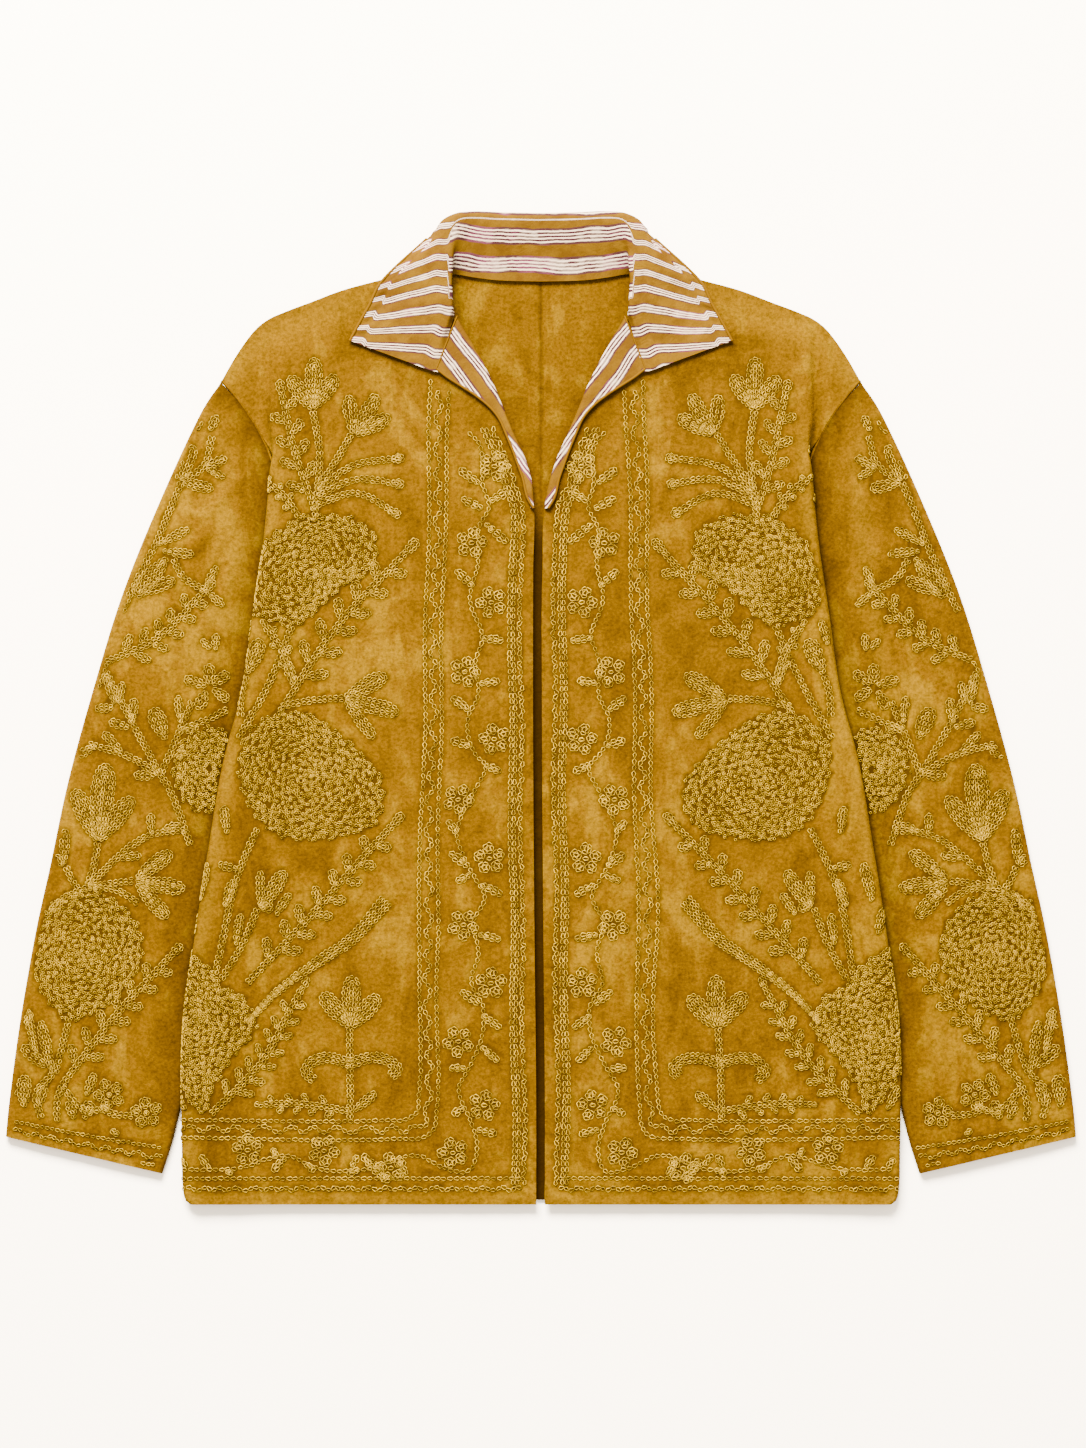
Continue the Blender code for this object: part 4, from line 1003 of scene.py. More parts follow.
def panel_paths(row):
    """Paths of the large flowers, sprays and stems inside a front's frame."""
    rows = table_petals(FRONT_PETALS, row)
    for spray in FRONT_SPRAYS:
        rows += spray_rows(*spray, row)
    for stem in FRONT_STEMS:
        rows += double_row(curve_through(stem), row)
    for club in FRONT_CLUBS:
        rows += club_rows(club, 9 * MM, row)
    for arm in FRONT_ARMS:
        path = curve_through(arm)
        rows += [offset_curve(path, k * row) for k in (-0.95, 0.0, 0.95)]
    path = curve_through(LONG_CLUB)
    taper = np.linspace(1.0, 0.25, len(path))[:, None]
    for k in (-1.4, -0.47, 0.47, 1.4):
        rows.append(path + (offset_curve(path, k * row) - path) * taper)
    return rows


def border_paths(row):
    """Paths of the framed border of a front: the vine, the frame lines, and the rows along edge and hem."""
    rows = [curve_through(line, 200) for line in FRAME_LINES]
    rows.append(wave_along(curve_through(FRAME_WAVE, 300), 18.5 * MM, 2.9 * MM))
    for i, centre in enumerate(VINE_FLOWERS):
        rows += flower_rows(centre, 25 * MM, 0.5 + 0.7 * i, row)
    rows += [curve_through(stem, 400) for stem in VINE_STEMS]
    return rows + table_petals(VINE_LEAVES, row)


def edge_paths(side):
    """Paths of the rows that follow a front's free edge and its hem."""
    up = np.linspace(HEM_Y + 14 * MM, 205 * MM, 240)
    edge = front_edge_x(side, up)
    out = np.linspace(14 * MM, 262 * MM, 120)
    rows = [np.stack([edge + 13.6 * MM, up], axis=-1), np.stack([edge + 16.6 * MM, up], axis=-1)]
    rows.append(wave_along(np.stack([edge + 9.0 * MM, up], axis=-1), 9.5 * MM, 1.7 * MM))
    rows.append(np.stack([out, np.full(out.shape, -342.0 * MM)], axis=-1))
    rows.append(wave_along(np.stack([out, np.full(out.shape, -349.5 * MM)], axis=-1), 12 * MM, 1.8 * MM))
    return rows


def sleeve_paths(row):
    """Paths of a sleeve's flowers, sprays and stems, and of the rows along its cuff."""
    rows = table_petals(SLEEVE_PETALS, row)
    for spray in SLEEVE_SPRAYS:
        rows += spray_rows(*spray, row)
    for stem in SLEEVE_STEMS:
        rows += double_row(curve_through(stem), row)
    for i, centre in enumerate(SLEEVE_FLOWERS):
        rows += flower_rows(centre, 25 * MM, 0.2 + i, row)
    rows.append(curve_through([(262, -322), (330, -311), (392, -299)], 120))
    rows.append(wave_along(curve_through([(264, -329), (330, -318), (392, -305.5)], 120), 13 * MM, 2.0 * MM))
    rows.append(curve_through([(266, -335), (330, -324.5), (392, -311.5)], 120))
    return rows


def lay_links(links, at, side, sizes, draw):
    """Points and face groups of rings of thread on the cloth, one for each link, and a tone for each point.

    A link is an oval pinched at its start, drawn by a thin tube; it lies in the plane that touches the cloth
    at its middle, a little above it, and its two ends rise and sink to overlap its neighbours. The tone holds
    painted shade, darker on the thread's underside and towards each link's ends, over a random tone for each
    link.
    """
    x, y, heading, loose, size = links.T
    step = 0.5 * MM
    here = at(side, x, y)
    right = (at(side, x + step, y) - at(side, x - step, y)) / (2 * step)
    up = (at(side, x, y + step) - at(side, x, y - step)) / (2 * step)
    right = right / np.maximum(np.linalg.norm(right, axis=-1, keepdims=True), 1e-6)
    up = up / np.maximum(np.linalg.norm(up, axis=-1, keepdims=True), 1e-6)
    normal = side * np.cross(right, up)
    normal = normal / np.linalg.norm(normal, axis=-1, keepdims=True)
    heading = heading + draw.normal(0.0, 1.0, len(x)) * loose
    ahead = np.cos(heading)[:, None] * right + np.sin(heading)[:, None] * up
    beside = np.cross(normal, ahead)

    ring = np.arange(sizes["segments"]) * 2 * math.pi / sizes["segments"]
    tube = np.arange(sizes["sides"]) * 2 * math.pi / sizes["sides"] + math.pi / 2
    thread = sizes["thread"] / 2
    long_half = sizes["pitch"] * 0.54 - thread * 0.5
    wide_half = sizes["width"] / 2 - thread
    pinch = 1.0 - 0.28 * np.cos(ring + math.pi)
    middle = np.stack([-long_half * np.cos(ring), wide_half * np.sin(ring) * pinch], axis=-1)
    out = np.stack([-np.cos(ring) * wide_half, np.sin(ring) * long_half], axis=-1)
    out = out / np.linalg.norm(out, axis=-1, keepdims=True)
    flat = middle[:, None, :] + thread * np.cos(tube)[None, :, None] * out[:, None, :]
    lift = thread * np.sin(tube)[None, :] + sizes["lift"] + 0.16 * MM * np.cos(ring)[:, None]
    grow = (draw.uniform(0.90, 1.12, len(x)) * size)[:, None, None, None]
    local_a = (flat[..., 0])[None, :, :, None] * grow
    local_b = (flat[..., 1])[None, :, :, None] * grow
    rise = draw.normal(0.0, 0.05 * MM, len(x))[:, None, None, None]
    points = (here[:, None, None, :] + local_a * ahead[:, None, None, :] + local_b * beside[:, None, None, :]
              + (lift[None, :, :, None] + rise) * normal[:, None, None, :])
    index = np.arange(sizes["segments"] * sizes["sides"]).reshape(sizes["segments"], sizes["sides"])
    after, over = np.roll(index, -1, axis=0), np.roll(index, -1, axis=1)
    both = np.roll(after, -1, axis=1)
    faces = np.stack([index, after, both, over], axis=-1).reshape(-1, 4)
    each = sizes["segments"] * sizes["sides"]
    faces = (faces[None] + each * np.arange(len(x))[:, None, None]).reshape(-1, 4)
    points = points.reshape(-1, 3)
    own = draw.uniform(0.0, 1.0, len(x))[:, None, None]
    # Painted shade on the thread: the tone falls towards the underside of the tube and towards each link's
    # two ends; own gives each link a random tone.
    top = np.clip(np.sin(tube), 0.0, 1.0)[None, None, :] + np.zeros((1, sizes["segments"], 1))
    beside = (0.30 + 0.70 * np.sin(ring) ** 2)[None, :, None]
    bright = (0.26 + 0.74 * own) * (1.0 + 0.6 * loose[:, None, None])
    tone = (top * beside * bright + (1.0 - top) * 0.06 * own).reshape(-1)
    return points, facing_outwards(points, [faces]), tone


def node(tree, kind, inputs=None, **settings):
    """A shader node with its settings, and its inputs set to values or linked to sockets."""
    made = tree.nodes.new(kind)
    for name, value in settings.items():
        setattr(made, name, value)
    for name, value in (inputs or {}).items():
        if isinstance(value, bpy.types.NodeSocket):
            tree.links.new(value, made.inputs[name])
        else:
            made.inputs[name].default_value = value
    return made


def noise(tree, vector, scale, detail=3.0, roughness=0.5, distortion=0.0):
    """Soft noise from about 0 to 1, read at a place."""
    inputs = {"Vector": vector, "Scale": scale, "Detail": detail, "Roughness": roughness}
    inputs["Distortion"] = distortion
    return node(tree, "ShaderNodeTexNoise", inputs).outputs["Fac"]


def calculate(tree, operation, first, second=0.0, third=0.0, clamp=False):
    """One step of arithmetic on values or sockets."""
    made = node(tree, "ShaderNodeMath", {0: first, 1: second, 2: third}, operation=operation)
    made.use_clamp = clamp
    return made.outputs[0]


def spread(tree, value, low, high, to_low=0.0, to_high=1.0):
    """The value moved from one range to another, and held inside it."""
    inputs = {"Value": value, "From Min": low, "From Max": high, "To Min": to_low, "To Max": to_high}
    return node(tree, "ShaderNodeMapRange", inputs).outputs["Result"]


def blend_colours(tree, factor, first, second, kind="MIX"):
    """The first colour, with the second blended over it by a factor."""
    inputs = {"Factor": factor, 6: first, 7: second}
    return node(tree, "ShaderNodeMix", inputs, data_type="RGBA", blend_type=kind).outputs[2]


def toned(tree, colour, tone):
    """The colour times a tone, which is 1 where the colour stays as it is."""
    grey = node(tree, "ShaderNodeCombineColor", {"Red": tone, "Green": tone, "Blue": tone})
    return blend_colours(tree, 1.0, colour, grey.outputs["Color"], "MULTIPLY")


def stretched(tree, coordinates, scales, turn=0.0):
    """Coordinates turned about Z and scaled along each axis."""
    inputs = {"Vector": coordinates, "Scale": scales, "Rotation": (0.0, 0.0, turn)}
    return node(tree, "ShaderNodeMapping", inputs).outputs["Vector"]


def new_material(name):
    """A fresh material with its node tree and its main shader."""
    old = bpy.data.materials.get(name)
    if old is not None:
        bpy.data.materials.remove(old)
    made = bpy.data.materials.new(name)
    made.use_nodes = True
    return made, made.node_tree, made.node_tree.nodes["Principled BSDF"]


def rgba(colour):
    """A colour with full opacity."""
    return (colour[0], colour[1], colour[2], 1.0)


def plain_material(name, colour):
    """Matt cloth of one colour."""
    made, _tree, shader = new_material(name)
    shader.inputs["Base Color"].default_value = rgba(colour)
    shader.inputs["Roughness"].default_value = 0.85
    shader.inputs["Specular IOR Level"].default_value = 0.02
    return made


def velvet_material(name, look):
    """Crushed velvet: soft patches of three sizes, streaks of brushed pile, sheen and a soft bump.

    Three attributes blend in colours: lit the pale colour as a painted highlight, the next the colour of pile
    held down by thread with painted shade round the stitches, and shade the dark colour as painted shade.
    """
    made, tree, shader = new_material(name)
    place = node(tree, "ShaderNodeTexCoord").outputs["Object"]
    broad = spread(tree, noise(tree, place, 7.0, 3.0, 0.5, 0.8), 0.34, 0.66)
    patches = spread(tree, noise(tree, place, 17.0, 4.0, 0.55, 1.4), 0.34, 0.66)
    small = spread(tree, noise(tree, place, 75.0, 4.0, 0.60, 1.0), 0.34, 0.66)
    streaks = stretched(tree, place, (34.0, 10.0, 16.0), 0.35)
    brushed = spread(tree, noise(tree, streaks, 1.0, 4.0, 0.6, 1.2), 0.36, 0.64)
    pile = noise(tree, place, 430.0, 3.0, 0.75)
    total = calculate(tree, "MULTIPLY", broad, 0.22)
    total = calculate(tree, "MULTIPLY_ADD", patches, 0.34, total)
    total = calculate(tree, "MULTIPLY_ADD", small, 0.16, total)
    total = calculate(tree, "MULTIPLY_ADD", brushed, 0.28, total)
    light = spread(tree, total, 0.53, 0.73)
    dark = spread(tree, total, 0.48, 0.23)
    colour = blend_colours(tree, light, rgba(look.velvet), rgba(look.velvet_pale_and_highlight))
    colour = blend_colours(tree, dark, colour, rgba(look.velvet_dark))
    # Painted highlight: the lit attribute blends in the pale colour.
    lit = node(tree, "ShaderNodeAttribute", attribute_name="lit").outputs["Fac"]
    colour = blend_colours(tree, lit, colour, rgba(look.velvet_pale_and_highlight))
    grain = spread(tree, pile, 0.32, 0.68, 0.60, 1.36)
    colour = toned(tree, colour, grain)
    # Pile held down by thread, darkened round the stitches as painted shade.
    pressed_and_shaded = node(tree, "ShaderNodeAttribute", attribute_name="pressed_and_shaded").outputs["Fac"]
    colour = blend_colours(tree, pressed_and_shaded, colour, rgba(look.velvet_crushed_and_shaded))
    # Painted shade: the shade attribute blends in the dark colour.
    shade = node(tree, "ShaderNodeAttribute", attribute_name="shade").outputs["Fac"]
    colour = blend_colours(tree, shade, colour, rgba(look.velvet_shaded))
    tree.links.new(colour, shader.inputs["Base Color"])
    shader.inputs["Roughness"].default_value = 0.88
    shader.inputs["Specular IOR Level"].default_value = 0.04
    shader.inputs["Specular Tint"].default_value = (1.0, 0.55, 0.0, 1.0)
    shader.inputs["Sheen Weight"].default_value = look.sheen
    shader.inputs["Sheen Roughness"].default_value = 0.35
    shader.inputs["Sheen Tint"].default_value = (1.0, 0.58, 0.01, 1.0)
    height = calculate(tree, "MULTIPLY_ADD", small, 0.5, calculate(tree, "MULTIPLY", patches, 1.0))
    height = calculate(tree, "MULTIPLY_ADD", pile, 0.10, height)
    bump = node(tree, "ShaderNodeBump", {"Strength": 0.5, "Distance": 1.2 * MM, "Height": height})
    tree.links.new(bump.outputs["Normal"], shader.inputs["Normal"])
    return made


def thread_material(name, look):
    """Matt cotton thread, each link a slightly different tone, darker on its underside and at its ends as
    painted shade.
    """
    made, tree, shader = new_material(name)
    tone = node(tree, "ShaderNodeAttribute", attribute_name="tone").outputs["Fac"]
    place = node(tree, "ShaderNodeTexCoord").outputs["Object"]
    fibre = spread(tree, noise(tree, place, 700.0, 2.0, 0.5), 0.3, 0.7, 0.86, 1.12)
    colour = blend_colours(tree, tone, rgba(look.thread), rgba(look.thread_light))
    colour = toned(tree, colour, fibre)
    tree.links.new(colour, shader.inputs["Base Color"])
    shader.inputs["Roughness"].default_value = 0.7
    shader.inputs["Specular IOR Level"].default_value = 0.03
    return made


def striped_material(name, look):
    """Woven cotton: groups of pale lines with thin dark lines between them, on a mustard ground.

    The stripe attribute is a whole number in the middle of each group, and stripe_half is half the group's
    share of a repeat. Groups are three pale lines wide, or four where they are broad.
    """
    made, tree, shader = new_material(name)
    phase = node(tree, "ShaderNodeAttribute", attribute_name="stripe").outputs["Fac"]
    half = node(tree, "ShaderNodeAttribute", attribute_name="stripe_half").outputs["Fac"]
    place = node(tree, "ShaderNodeTexCoord").outputs["Object"]
    wobble = spread(tree, noise(tree, place, 26.0, 2.0), 0.3, 0.7, -0.07, 0.07)
    frayed = spread(tree, noise(tree, place, 260.0, 2.0), 0.3, 0.7, -0.009, 0.009)
    phase = calculate(tree, "ADD", calculate(tree, "ADD", phase, wobble), frayed)
    local = calculate(tree, "SUBTRACT", calculate(tree, "FRACT", calculate(tree, "ADD", phase, 0.5)), 0.5)
    across = calculate(tree, "DIVIDE", local, half)
    from_middle = calculate(tree, "ABSOLUTE", across)
    in_group = calculate(tree, "LESS_THAN", from_middle, 1.0)
    lines = calculate(tree, "ADD", 3.0, calculate(tree, "GREATER_THAN", half, 0.255))
    line = calculate(tree, "MULTIPLY", calculate(tree, "MULTIPLY_ADD", across, 0.5, 0.5), lines)
    line = calculate(tree, "FRACT", line)
    from_line = calculate(tree, "ABSOLUTE", calculate(tree, "SUBTRACT", line, 0.5))
    dark_line = calculate(tree, "GREATER_THAN", from_line, 0.215)
    from_edge = calculate(tree, "ABSOLUTE", calculate(tree, "SUBTRACT", from_middle, 1.05))
    edge_line = calculate(tree, "LESS_THAN", from_edge, 0.13)
    ink = noise(tree, place, 90.0, 3.0, 0.6)
    patchy = spread(tree, ink, 0.34, 0.50, 0.7, 1.0)
    run_dye = spread(tree, noise(tree, place, 38.0, 2.0), 0.54, 0.62)
    between = blend_colours(tree, run_dye, rgba(look.stripe_dark), rgba(RUN_DYE))
    inked = calculate(tree, "MULTIPLY", dark_line, patchy)
    pale = blend_colours(tree, inked, rgba(look.stripe_pale), between)
    ground_tone = spread(tree, noise(tree, place, 60.0, 4.0, 0.6), 0.38, 0.62)
    ground = blend_colours(tree, ground_tone, rgba(look.stripe_ground), rgba(GROUND_LIGHT))
    ground = blend_colours(tree, calculate(tree, "MULTIPLY", edge_line, 0.9), ground, between)
    colour = blend_colours(tree, in_group, ground, pale)
    stain = spread(tree, noise(tree, place, 30.0, 3.0, 0.6), 0.66, 0.74, 0.0, 0.45)
    colour = blend_colours(tree, stain, colour, rgba(STAIN))
    threads = stretched(tree, place, (1600.0, 700.0, 900.0))
    weave = spread(tree, noise(tree, threads, 1.0, 2.0), 0.3, 0.7, 0.88, 1.08)
    colour = toned(tree, colour, weave)
    tree.links.new(colour, shader.inputs["Base Color"])
    shader.inputs["Roughness"].default_value = 0.8
    shader.inputs["Specular IOR Level"].default_value = 0.03
    crumple = noise(tree, place, 85.0, 4.0, 0.6, 0.8)
    bump = node(tree, "ShaderNodeBump", {"Strength": 0.6, "Distance": 1.6 * MM, "Height": crumple})
    tree.links.new(bump.outputs["Normal"], shader.inputs["Normal"])
    return made


def beside_line(x, y, line):
    """Distance of each place from a chain of straight lines, given by its corners."""
    nearest = np.full(np.shape(x), 1.0)
    for (x0, y0), (x1, y1) in zip(line[:-1], line[1:]):
        run_x, run_y = x1 - x0, y1 - y0
        along = np.clip(((x - x0) * run_x + (y - y0) * run_y) / (run_x ** 2 + run_y ** 2), 0.0, 1.0)
        nearest = np.minimum(nearest, np.hypot(x - x0 - along * run_x, y - y0 - along * run_y))
    return nearest


def pile_press_and_shade(links, x, y):
    """How far the cloth at each place is held down by stitches and darkened by their painted shade, from 0 to
    1.

    The links are counted on a fine grid seen from above, and the counts are blurred a little.
    """
    cell = 1.5 * MM
    low = np.array((-20.0, -380.0)) * MM
    counts = np.zeros((300, 500))
    at = ((links[:, :2] - low) / cell).astype(int)
    keep = ((at >= 3) & (at < np.array(counts.shape) - 3)).all(axis=1)
    np.add.at(counts, (at[keep, 0], at[keep, 1]), 1.0)
    kernel = np.array((0.06, 0.24, 0.40, 0.24, 0.06))
    for axis in (0, 1):
        counts = sum(k * np.roll(counts, i - 2, axis=axis) for i, k in enumerate(kernel))
    i, j = ((x - low[0]) / cell).astype(int), ((y - low[1]) / cell).astype(int)
    i, j = np.clip(i, 0, counts.shape[0] - 1), np.clip(j, 0, counts.shape[1] - 1)
    return np.clip(counts[i, j] * 7.0, 0.0, 1.0)


STITCHES = {}


def colour_setting(name, description, default):
    """A colour that a user can change."""
    return bpy.props.FloatVectorProperty(
        name=name, description=description, default=default, subtype="COLOR", size=3, min=0, max=1)


def length_setting(name, description, default, low, high):
    """A length that a user can change, between two bounds."""
    return bpy.props.FloatProperty(
        name=name, description=description, default=default, min=low, max=high, unit="LENGTH")


class JacketLook(bpy.types.PropertyGroup):
    """Colours and stitch sizes that a user would change."""

    velvet: colour_setting("Velvet", "Colour of the velvet", (0.0475, 0.0200, 0.0))
    # Pale velvet: the light patches of the crushed pile, and also the painted highlight that the lit
    # attribute blends in.
    velvet_pale_and_highlight: colour_setting(
        "Brushed velvet", "Velvet where the pile leans to the light", (0.0740, 0.0358, 0.0))
    velvet_dark: colour_setting("Deep velvet", "Velvet where the pile leans away", (0.0305, 0.0126, 0.0))
    # Pile held down by the thread, also used as painted shade round the stitches.
    velvet_crushed_and_shaded: colour_setting(
        "Pressed velvet", "Velvet held down between the stitches", (0.0170, 0.0074, 0.0))
    # Painted shade: the dark colour that the shade attribute blends in under the fronts, below the collar and
    # lapels, beside the body and along the centre back seam.
    velvet_shaded: colour_setting(
        "Covered velvet", "Velvet inside the jacket, under the fronts", (0.0048, 0.0017, 0.0))
    sheen: bpy.props.FloatProperty(
        name="Sheen", description="Strength of the velvet's pale edge light", default=0.04, min=0, max=1)
    # The dark thread colour is mostly reached as painted shade on the thread's underside and at the links'
    # ends.
    thread: colour_setting("Thread", "Darker tone of the embroidery thread", (0.0350, 0.0175, 0.0))
    thread_light: colour_setting(
        "Pale thread", "Lighter tone of the embroidery thread", (0.4750, 0.2720, 0.0080))
    stripe_pale: colour_setting("Pale stripe", "Pale lines of the striped cotton", (0.380, 0.272, 0.172))
    stripe_dark: colour_setting(
        "Dark stripe", "Thin dark lines of the striped cotton", (0.022, 0.006, 0.007))
    stripe_ground: colour_setting(
        "Stripe ground", "Mustard ground of the striped cotton", (0.0420, 0.0170, 0.0))
    stitch_pitch: length_setting(
        "Stitch length", "Distance from one chain stitch to the next", 3.8 * MM, 2 * MM, 12 * MM)
    stitch_width: length_setting("Stitch width", "Width of a chain stitch", 2.95 * MM, 1 * MM, 9 * MM)
    thread_thickness: length_setting(
        "Thread thickness", "Thickness of the thread of the embroidery", 0.74 * MM, 0.3 * MM, 3 * MM)


def dress(piece, nodes):
    """Sets a cloth piece to ride on the jacket's root, and hides the CAD parts that it stands for."""
    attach(piece, "root")
    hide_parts(*nodes)


def trim(piece):
    """Sets a piece on the cloth to ride on the jacket's root."""
    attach(piece, "root")


def add_cord(name, path, radius, material):
    """A round cord sewn along a path, as a piece on the cloth."""
    points, faces = tube(path, radius, 8)
    cord = add_piece(name, points, faces, material)
    trim(cord)
    return cord


class JACKET_OT_stitches(bpy.types.Operator):
    """Lay the chain stitch embroidery on the fronts and the sleeves"""

    bl_idname = "jacket.stitches"
    bl_label = "Embroidery"

    def execute(self, context):
        look = context.scene.jacket_look
        material = thread_material("embroidery_thread", look)
        sizes = {"pitch": look.stitch_pitch, "width": look.stitch_width, "thread": look.thread_thickness,
                 "lift": 0.25 * MM, "sides": 3}
        row = look.stitch_width * 1.03
        for word, side in SIDES:
            draw = np.random.default_rng(11 if side > 0 else 12)
            move = 0.0 if side > 0 else 1.0
            on_front, on_sleeve = (front_at, front_has), (sleeve_at, sleeve_has)
            groups = {
                "motifs_front_" + word: (panel_paths(row), FRONT_PATCHES, 1.0, 9 * MM * move, on_front),
                "border_front_" + word: (border_paths(row), (), BORDER_LINK, 5 * MM * move, on_front),
                "edging_front_" + word: (edge_paths(side), (), BORDER_LINK, 0.0, on_front),
                "motifs_sleeve_" + word: (sleeve_paths(row), SLEEVE_PATCHES, 1.0, 0.0, on_sleeve),
            }
            for name, (paths, patches, size, shift, (at, has)) in groups.items():
                heads = [path for outline in patches for path in patch_rows(outline, HEAD_ROW * row, draw)]
                laid = [links_along(path, sizes["pitch"] * size, 0.10, size) for path in paths]
                laid += [links_along(path, HEAD_PITCH * sizes["pitch"], KNOTTED, HEAD_LINK) for path in heads]
                links = np.concatenate(laid)
                links[:, 0] += shift + 0.9 * MM * np.sin(links[:, 1] / (23 * MM) + side)
                wander = 0.10 * MM + 0.8 * MM * links[:, 3:4]
                links[:, :2] += draw.normal(0.0, 1.0, (len(links), 2)) * wander
                links = links[has(side, links[:, 0], links[:, 1])]
                STITCHES.setdefault(name.split("_")[1] + "_" + word, []).append(links)
                loose = links[:, 3] == KNOTTED
                parts = [lay_links(links[~loose], at, side, dict(sizes, segments=5), draw)]
                parts.append(lay_links(links[loose], at, side, dict(sizes, segments=4), draw))
                points = np.concatenate([parts[0][0], parts[1][0]])
                faces = parts[0][1] + [group + len(parts[0][0]) for group in parts[1][1]]
                tone = np.concatenate([parts[0][2], parts[1][2]])
                piece = add_piece(name, points, faces, material, {"tone": tone}, sharp_deg=0)
                trim(piece)
                print(name, len(links), "links")
        return {"FINISHED"}


class JACKET_OT_fronts(bpy.types.Operator):
    """Build the two velvet fronts"""

    bl_idname = "jacket.fronts"
    bl_label = "Fronts"

    def execute(self, context):
        material = velvet_material("velvet", context.scene.jacket_look)
        across = np.concatenate([
            np.linspace(0.0, 1.0, 113), np.linspace(1.0, 2.0, 13)[1:], np.linspace(2.0, 3.0, 9)[1:]])
        rise = np.linspace(0.0, 1.0, 243)
        for word, side in SIDES:
            outer = front_outer(side, across, rise)
            inner = outer - side * WALL * grid_normals(outer)
            links = np.concatenate(STITCHES["front_" + word])
            x, y = np.abs(outer[..., 0]), outer[..., 1]
            # Painted shadow below the free edges of the collar wing and the lapel, carried by the shade
            # attribute.
            hanging = [np.array(place) * MM for place in ((139, 268), (109.7, 256.8), (81, 246.6))]
            hanging += list(np.stack([LAPEL["edge_x"], LAPEL["edge_y"]], axis=-1)[::-1])
            # Painted highlight, carried by the lit attribute: along the rolled side edge, in a band above the
            # hem and below the shoulder.
            rim = (side_fold(y)["fold_x"] - 5 * MM - x) / (6 * MM)
            below_shoulder = smooth(x, SHOULDER["x"], SHOULDER["y"]) - y
            lit = 0.55 * np.exp(-rim ** 2) * ease((215 * MM - y) / (30 * MM))
            lit = lit + 0.30 * np.exp(-((y - HEM_Y - 4 * MM) / (8 * MM)) ** 2)
            at_shoulder = 0.40 * np.exp(-((below_shoulder - 12 * MM) / (14 * MM)) ** 2)
            values = {
                "pressed_and_shaded": pile_press_and_shade(links, x, y),
                "shade": 0.46 * np.exp(-beside_line(x, y, hanging) / (7 * MM)),
                "lit": lit + at_shoulder * ease((x - 100 * MM) / (50 * MM)),
            }
            piece = add_wall("velvet_front_" + word, outer, inner, material, values)
            dress(piece, ["front_" + word])
        return {"FINISHED"}


class JACKET_OT_backs(bpy.types.Operator):
    """Build the two halves of the back, which lie flat with the inner face up"""

    bl_idname = "jacket.backs"
    bl_label = "Back"

    def execute(self, context):
        material = velvet_material("velvet_inside", context.scene.jacket_look)
        for word, side in SIDES:
            across = ease(np.linspace(0.0, 1.0, 61)) * 0.35 + np.linspace(0.0, 1.0, 61) * 0.65
            upper = back_outer(side, across, np.linspace(0.0, 1.0, 121))
            x, y = np.abs(upper[..., 0]), upper[..., 1]
            lower = upper * np.array((1.0, 1.0, 0.0))
            seam = -0.5 * MM * np.exp(-((x / (2.0 * MM)) ** 2))
            shows = ease((y - 150 * MM) / (30 * MM)) * ease((58 * MM - x) / (10 * MM))
            upper[..., 2] += shows * (0.25 * MM * ripple(x * side, y, 5) + seam - 0.25 * MM)
            # Painted shade: darkest where the fronts cover the back and in the slot between them, darker
            # beside the fronts' edges and along the centre seam, and a little over the rest of the inside
            # that shows.
            covered = ease((175 * MM - y) / (60 * MM))
            near_edge = ease((front_edge_x(side, y) + 3 * MM - x) / (-3 * MM))
            shade = np.maximum(0.93 * covered, 0.75 * near_edge * ease((300 * MM - y) / (60 * MM)))
            beside_edge = np.interp(y, CENTRE_EDGE["y"], CENTRE_EDGE["half_gap"]) - x
            shade = np.maximum(shade, 0.10 + 0.30 * np.exp(-np.maximum(beside_edge, 0.0) / (9 * MM)))
            shade = np.maximum(shade, 0.55 * np.exp(-((x / (1.2 * MM)) ** 2)))
            piece = add_wall("velvet_back_" + word, upper, lower, material, {"shade": shade})
            dress(piece, ["back_" + word])
        return {"FINISHED"}


class JACKET_OT_sleeves(bpy.types.Operator):
    """Build the two flattened sleeves"""

    bl_idname = "jacket.sleeves"
    bl_label = "Sleeves"

    def execute(self, context):
        material = velvet_material("velvet_sleeve", context.scene.jacket_look)
        for word, side in SIDES:
            outer = sleeve_face(side, 0.0, 62, 8, 170)
            inner = sleeve_face(side, WALL, 62, 8, 170)
            links = np.concatenate(STITCHES["sleeve_" + word])
            x, y = np.abs(outer[..., 0]), outer[..., 1]
            beside_body = x - np.maximum(side_fold(y)["fold_x"], sleeve_side_x(y))
            beside_body = np.maximum(beside_body, 0.0)
            # Painted shade beside the body, its broad part weaker towards the cuff.
            deep = ease((y + 340 * MM) / (150 * MM))
            fading = 1.0 - ease((beside_body - 5 * MM) / (24 * MM))
            # Painted highlight along a ridge of the sleeve about 33 mm out from the body.
            ridge = 0.35 * np.exp(-((beside_body - 33 * MM) / (7 * MM)) ** 2)
            values = {
                "pressed_and_shaded": pile_press_and_shade(links, x, y),
                "shade": 0.50 * np.exp(-beside_body / (4 * MM)) + 0.36 * deep * fading,
                "lit": ridge * ease((y + 90 * MM) / (60 * MM)),
            }
            piece = add_wall("velvet_sleeve_" + word, outer, inner, material, values, closed=True)
            x, y = armhole_points(60)
            keep = x > side_fold(y)["fold_x"] - 3 * MM
            path = np.stack([side * (x + 0.2 * MM), y, np.full(x.shape, 4.9 * MM)], axis=-1)[keep]
            seam = add_cord("seam_armhole_" + word, path, 1.25 * MM, material)
            dress(piece, ["sleeve_" + word])
        return {"FINISHED"}


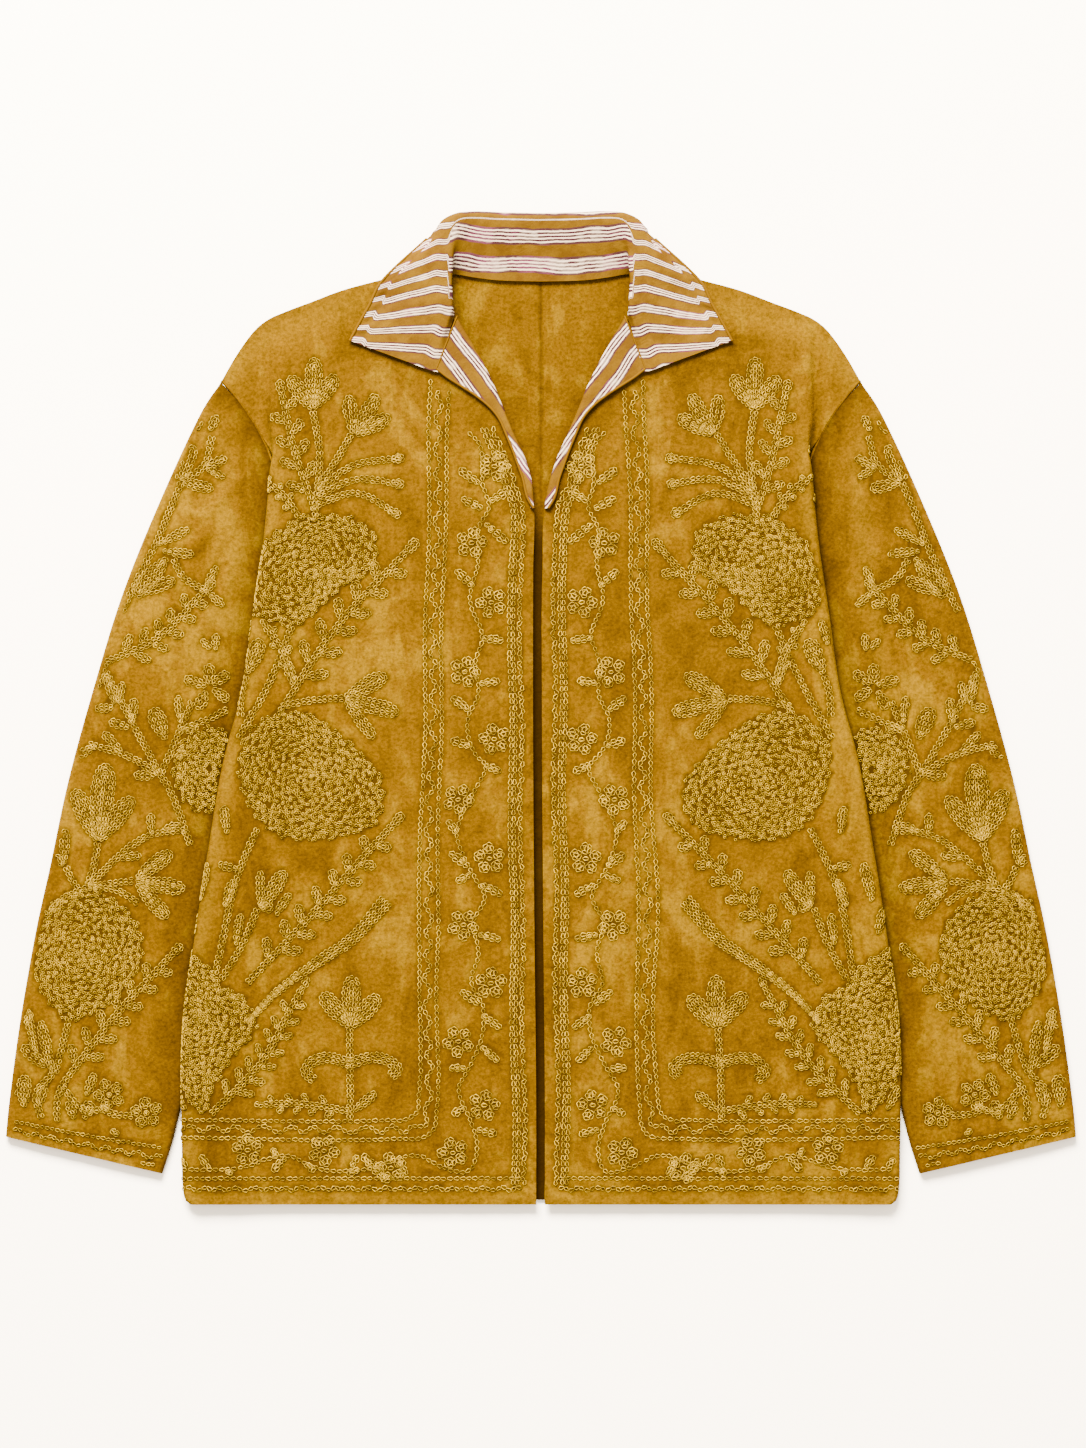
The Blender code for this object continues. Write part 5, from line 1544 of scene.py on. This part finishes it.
class JACKET_OT_collar(bpy.types.Operator):
    """Build the striped collar and the two turned-back lapels"""

    bl_idname = "jacket.collar"
    bl_label = "Collar and lapels"

    def execute(self, context):
        material = striped_material("striped_cotton", context.scene.jacket_look)
        bound = plain_material("binding", BINDING)
        outer, phase, width = collar_outer(90, 16, 36)
        inner = outer + WALL * grid_normals(outer)
        values = {"stripe": phase, "stripe_half": width}
        collar = add_wall("striped_collar", outer, inner, material, values)
        for word, side in SIDES:
            edge = outer[:, -1]
            edge = edge[(edge[:, 2] > 7 * MM) & (edge[:, 0] * side > 0)]
            add_cord("binding_collar_" + word, edge, 1.05 * MM, bound)
        dress(collar, ["collar"])
        for word, side in SIDES:
            across = np.linspace(0.0, 1.0, 31)
            outer = lapel_outer(side, across, np.linspace(0.0, 1.0, 61))
            inner = outer - side * WALL * grid_normals(outer)
            across_stripes = 0.804 * outer[..., 0] * side - 0.595 * outer[..., 1]
            phase = (across_stripes + (98.0 + 1.5 * side) * MM) / (15.2 * MM) + 7.0
            values = {"stripe": phase, "stripe_half": np.full(phase.shape, 0.23)}
            facing = add_wall("striped_facing_" + word, outer, inner, material, values)
            edge = outer[:, -1] + np.array((0.0, 0.0, 0.1 * MM))
            binding = add_cord("binding_lapel_" + word, edge, 0.95 * MM, bound)
            top = outer[-1, 10:] + np.array((0.0, 0.35 * MM, 0.2 * MM))
            seam = add_cord("seam_gorge_" + word, top, 0.6 * MM, bound)
            dress(facing, ["facing_" + word])
        return {"FINISHED"}


class JACKET_OT_stage(bpy.types.Operator):
    """Lay the pale floor and set the light and the camera"""

    bl_idname = "jacket.stage"
    bl_label = "Stage"

    def execute(self, context):
        floor_size = 4.0  # half the side of the floor
        corners = np.array([(-1, -1, 0), (1, -1, 0), (1, 1, 0), (-1, 1, 0)], float) * floor_size
        corners[:, 2] = -0.2 * MM
        made, _tree, shader = new_material("floor")
        shader.inputs["Base Color"].default_value = (0.96, 0.83, 0.66, 1.0)
        shader.inputs["Roughness"].default_value = 0.9
        shader.inputs["Specular IOR Level"].default_value = 0.05
        floor = add_piece("floor", corners, [np.array([[0, 1, 2, 3]])], made, sharp_deg=0)

        light = bpy.data.lights.new("softbox", "AREA")
        light.shape = "RECTANGLE"
        light.size = 2.4
        light.size_y = 1.6
        light.energy = 2950.0
        light.color = (1.0, 0.985, 0.96)
        lamp = bpy.data.objects.new("softbox", light)
        lamp.location = (-0.8, 3.1, 2.8)
        lamp.rotation_euler = (-math.atan2(3.1, 2.8), -math.atan2(0.8, 2.8), 0.0)
        context.scene.collection.objects.link(lamp)

        world = bpy.data.worlds.new("studio")
        world.use_nodes = True
        world.node_tree.nodes["Background"].inputs["Color"].default_value = (1.0, 0.98, 0.95, 1.0)
        world.node_tree.nodes["Background"].inputs["Strength"].default_value = 2.8
        context.scene.world = world

        camera = bpy.data.cameras.new("camera")
        height = 3.6
        seen_height = 1.057  # length of floor that the picture shows from its top to its foot
        camera.sensor_fit = "VERTICAL"
        camera.sensor_height = 36.0
        camera.lens = camera.sensor_height * height / seen_height
        eye = bpy.data.objects.new("camera", camera)
        eye.location = (1.5 * MM, -11.0 * MM, height)
        context.scene.collection.objects.link(eye)
        context.scene.camera = eye
        return {"FINISHED"}


class JACKET_PT_panel(bpy.types.Panel):
    """Lists the jacket's parts and its colours and stitch sizes"""

    bl_idname = "JACKET_PT_panel"
    bl_label = "Velvet jacket"
    bl_space_type = "VIEW_3D"
    bl_region_type = "UI"
    bl_category = "Jacket"

    def draw(self, context):
        for name in JacketLook.__annotations__:
            self.layout.prop(context.scene.jacket_look, name)
        for operator in OPERATORS:
            self.layout.operator(operator.bl_idname)


OPERATORS = (JACKET_OT_stitches, JACKET_OT_fronts, JACKET_OT_backs, JACKET_OT_sleeves, JACKET_OT_collar,
             JACKET_OT_stage)
CLASSES = (JacketLook, *OPERATORS, JACKET_PT_panel)


def register():
    for made in CLASSES:
        bpy.utils.register_class(made)
    bpy.types.Scene.jacket_look = bpy.props.PointerProperty(type=JacketLook)


def unregister():
    del bpy.types.Scene.jacket_look
    for made in reversed(CLASSES):
        bpy.utils.unregister_class(made)


def main():
    """Builds every piece and the stage."""
    register()
    bpy.ops.jacket.stitches()
    bpy.ops.jacket.fronts()
    bpy.ops.jacket.backs()
    bpy.ops.jacket.sleeves()
    bpy.ops.jacket.collar()
    bpy.ops.jacket.stage()


if __name__ == "__main__":
    main()
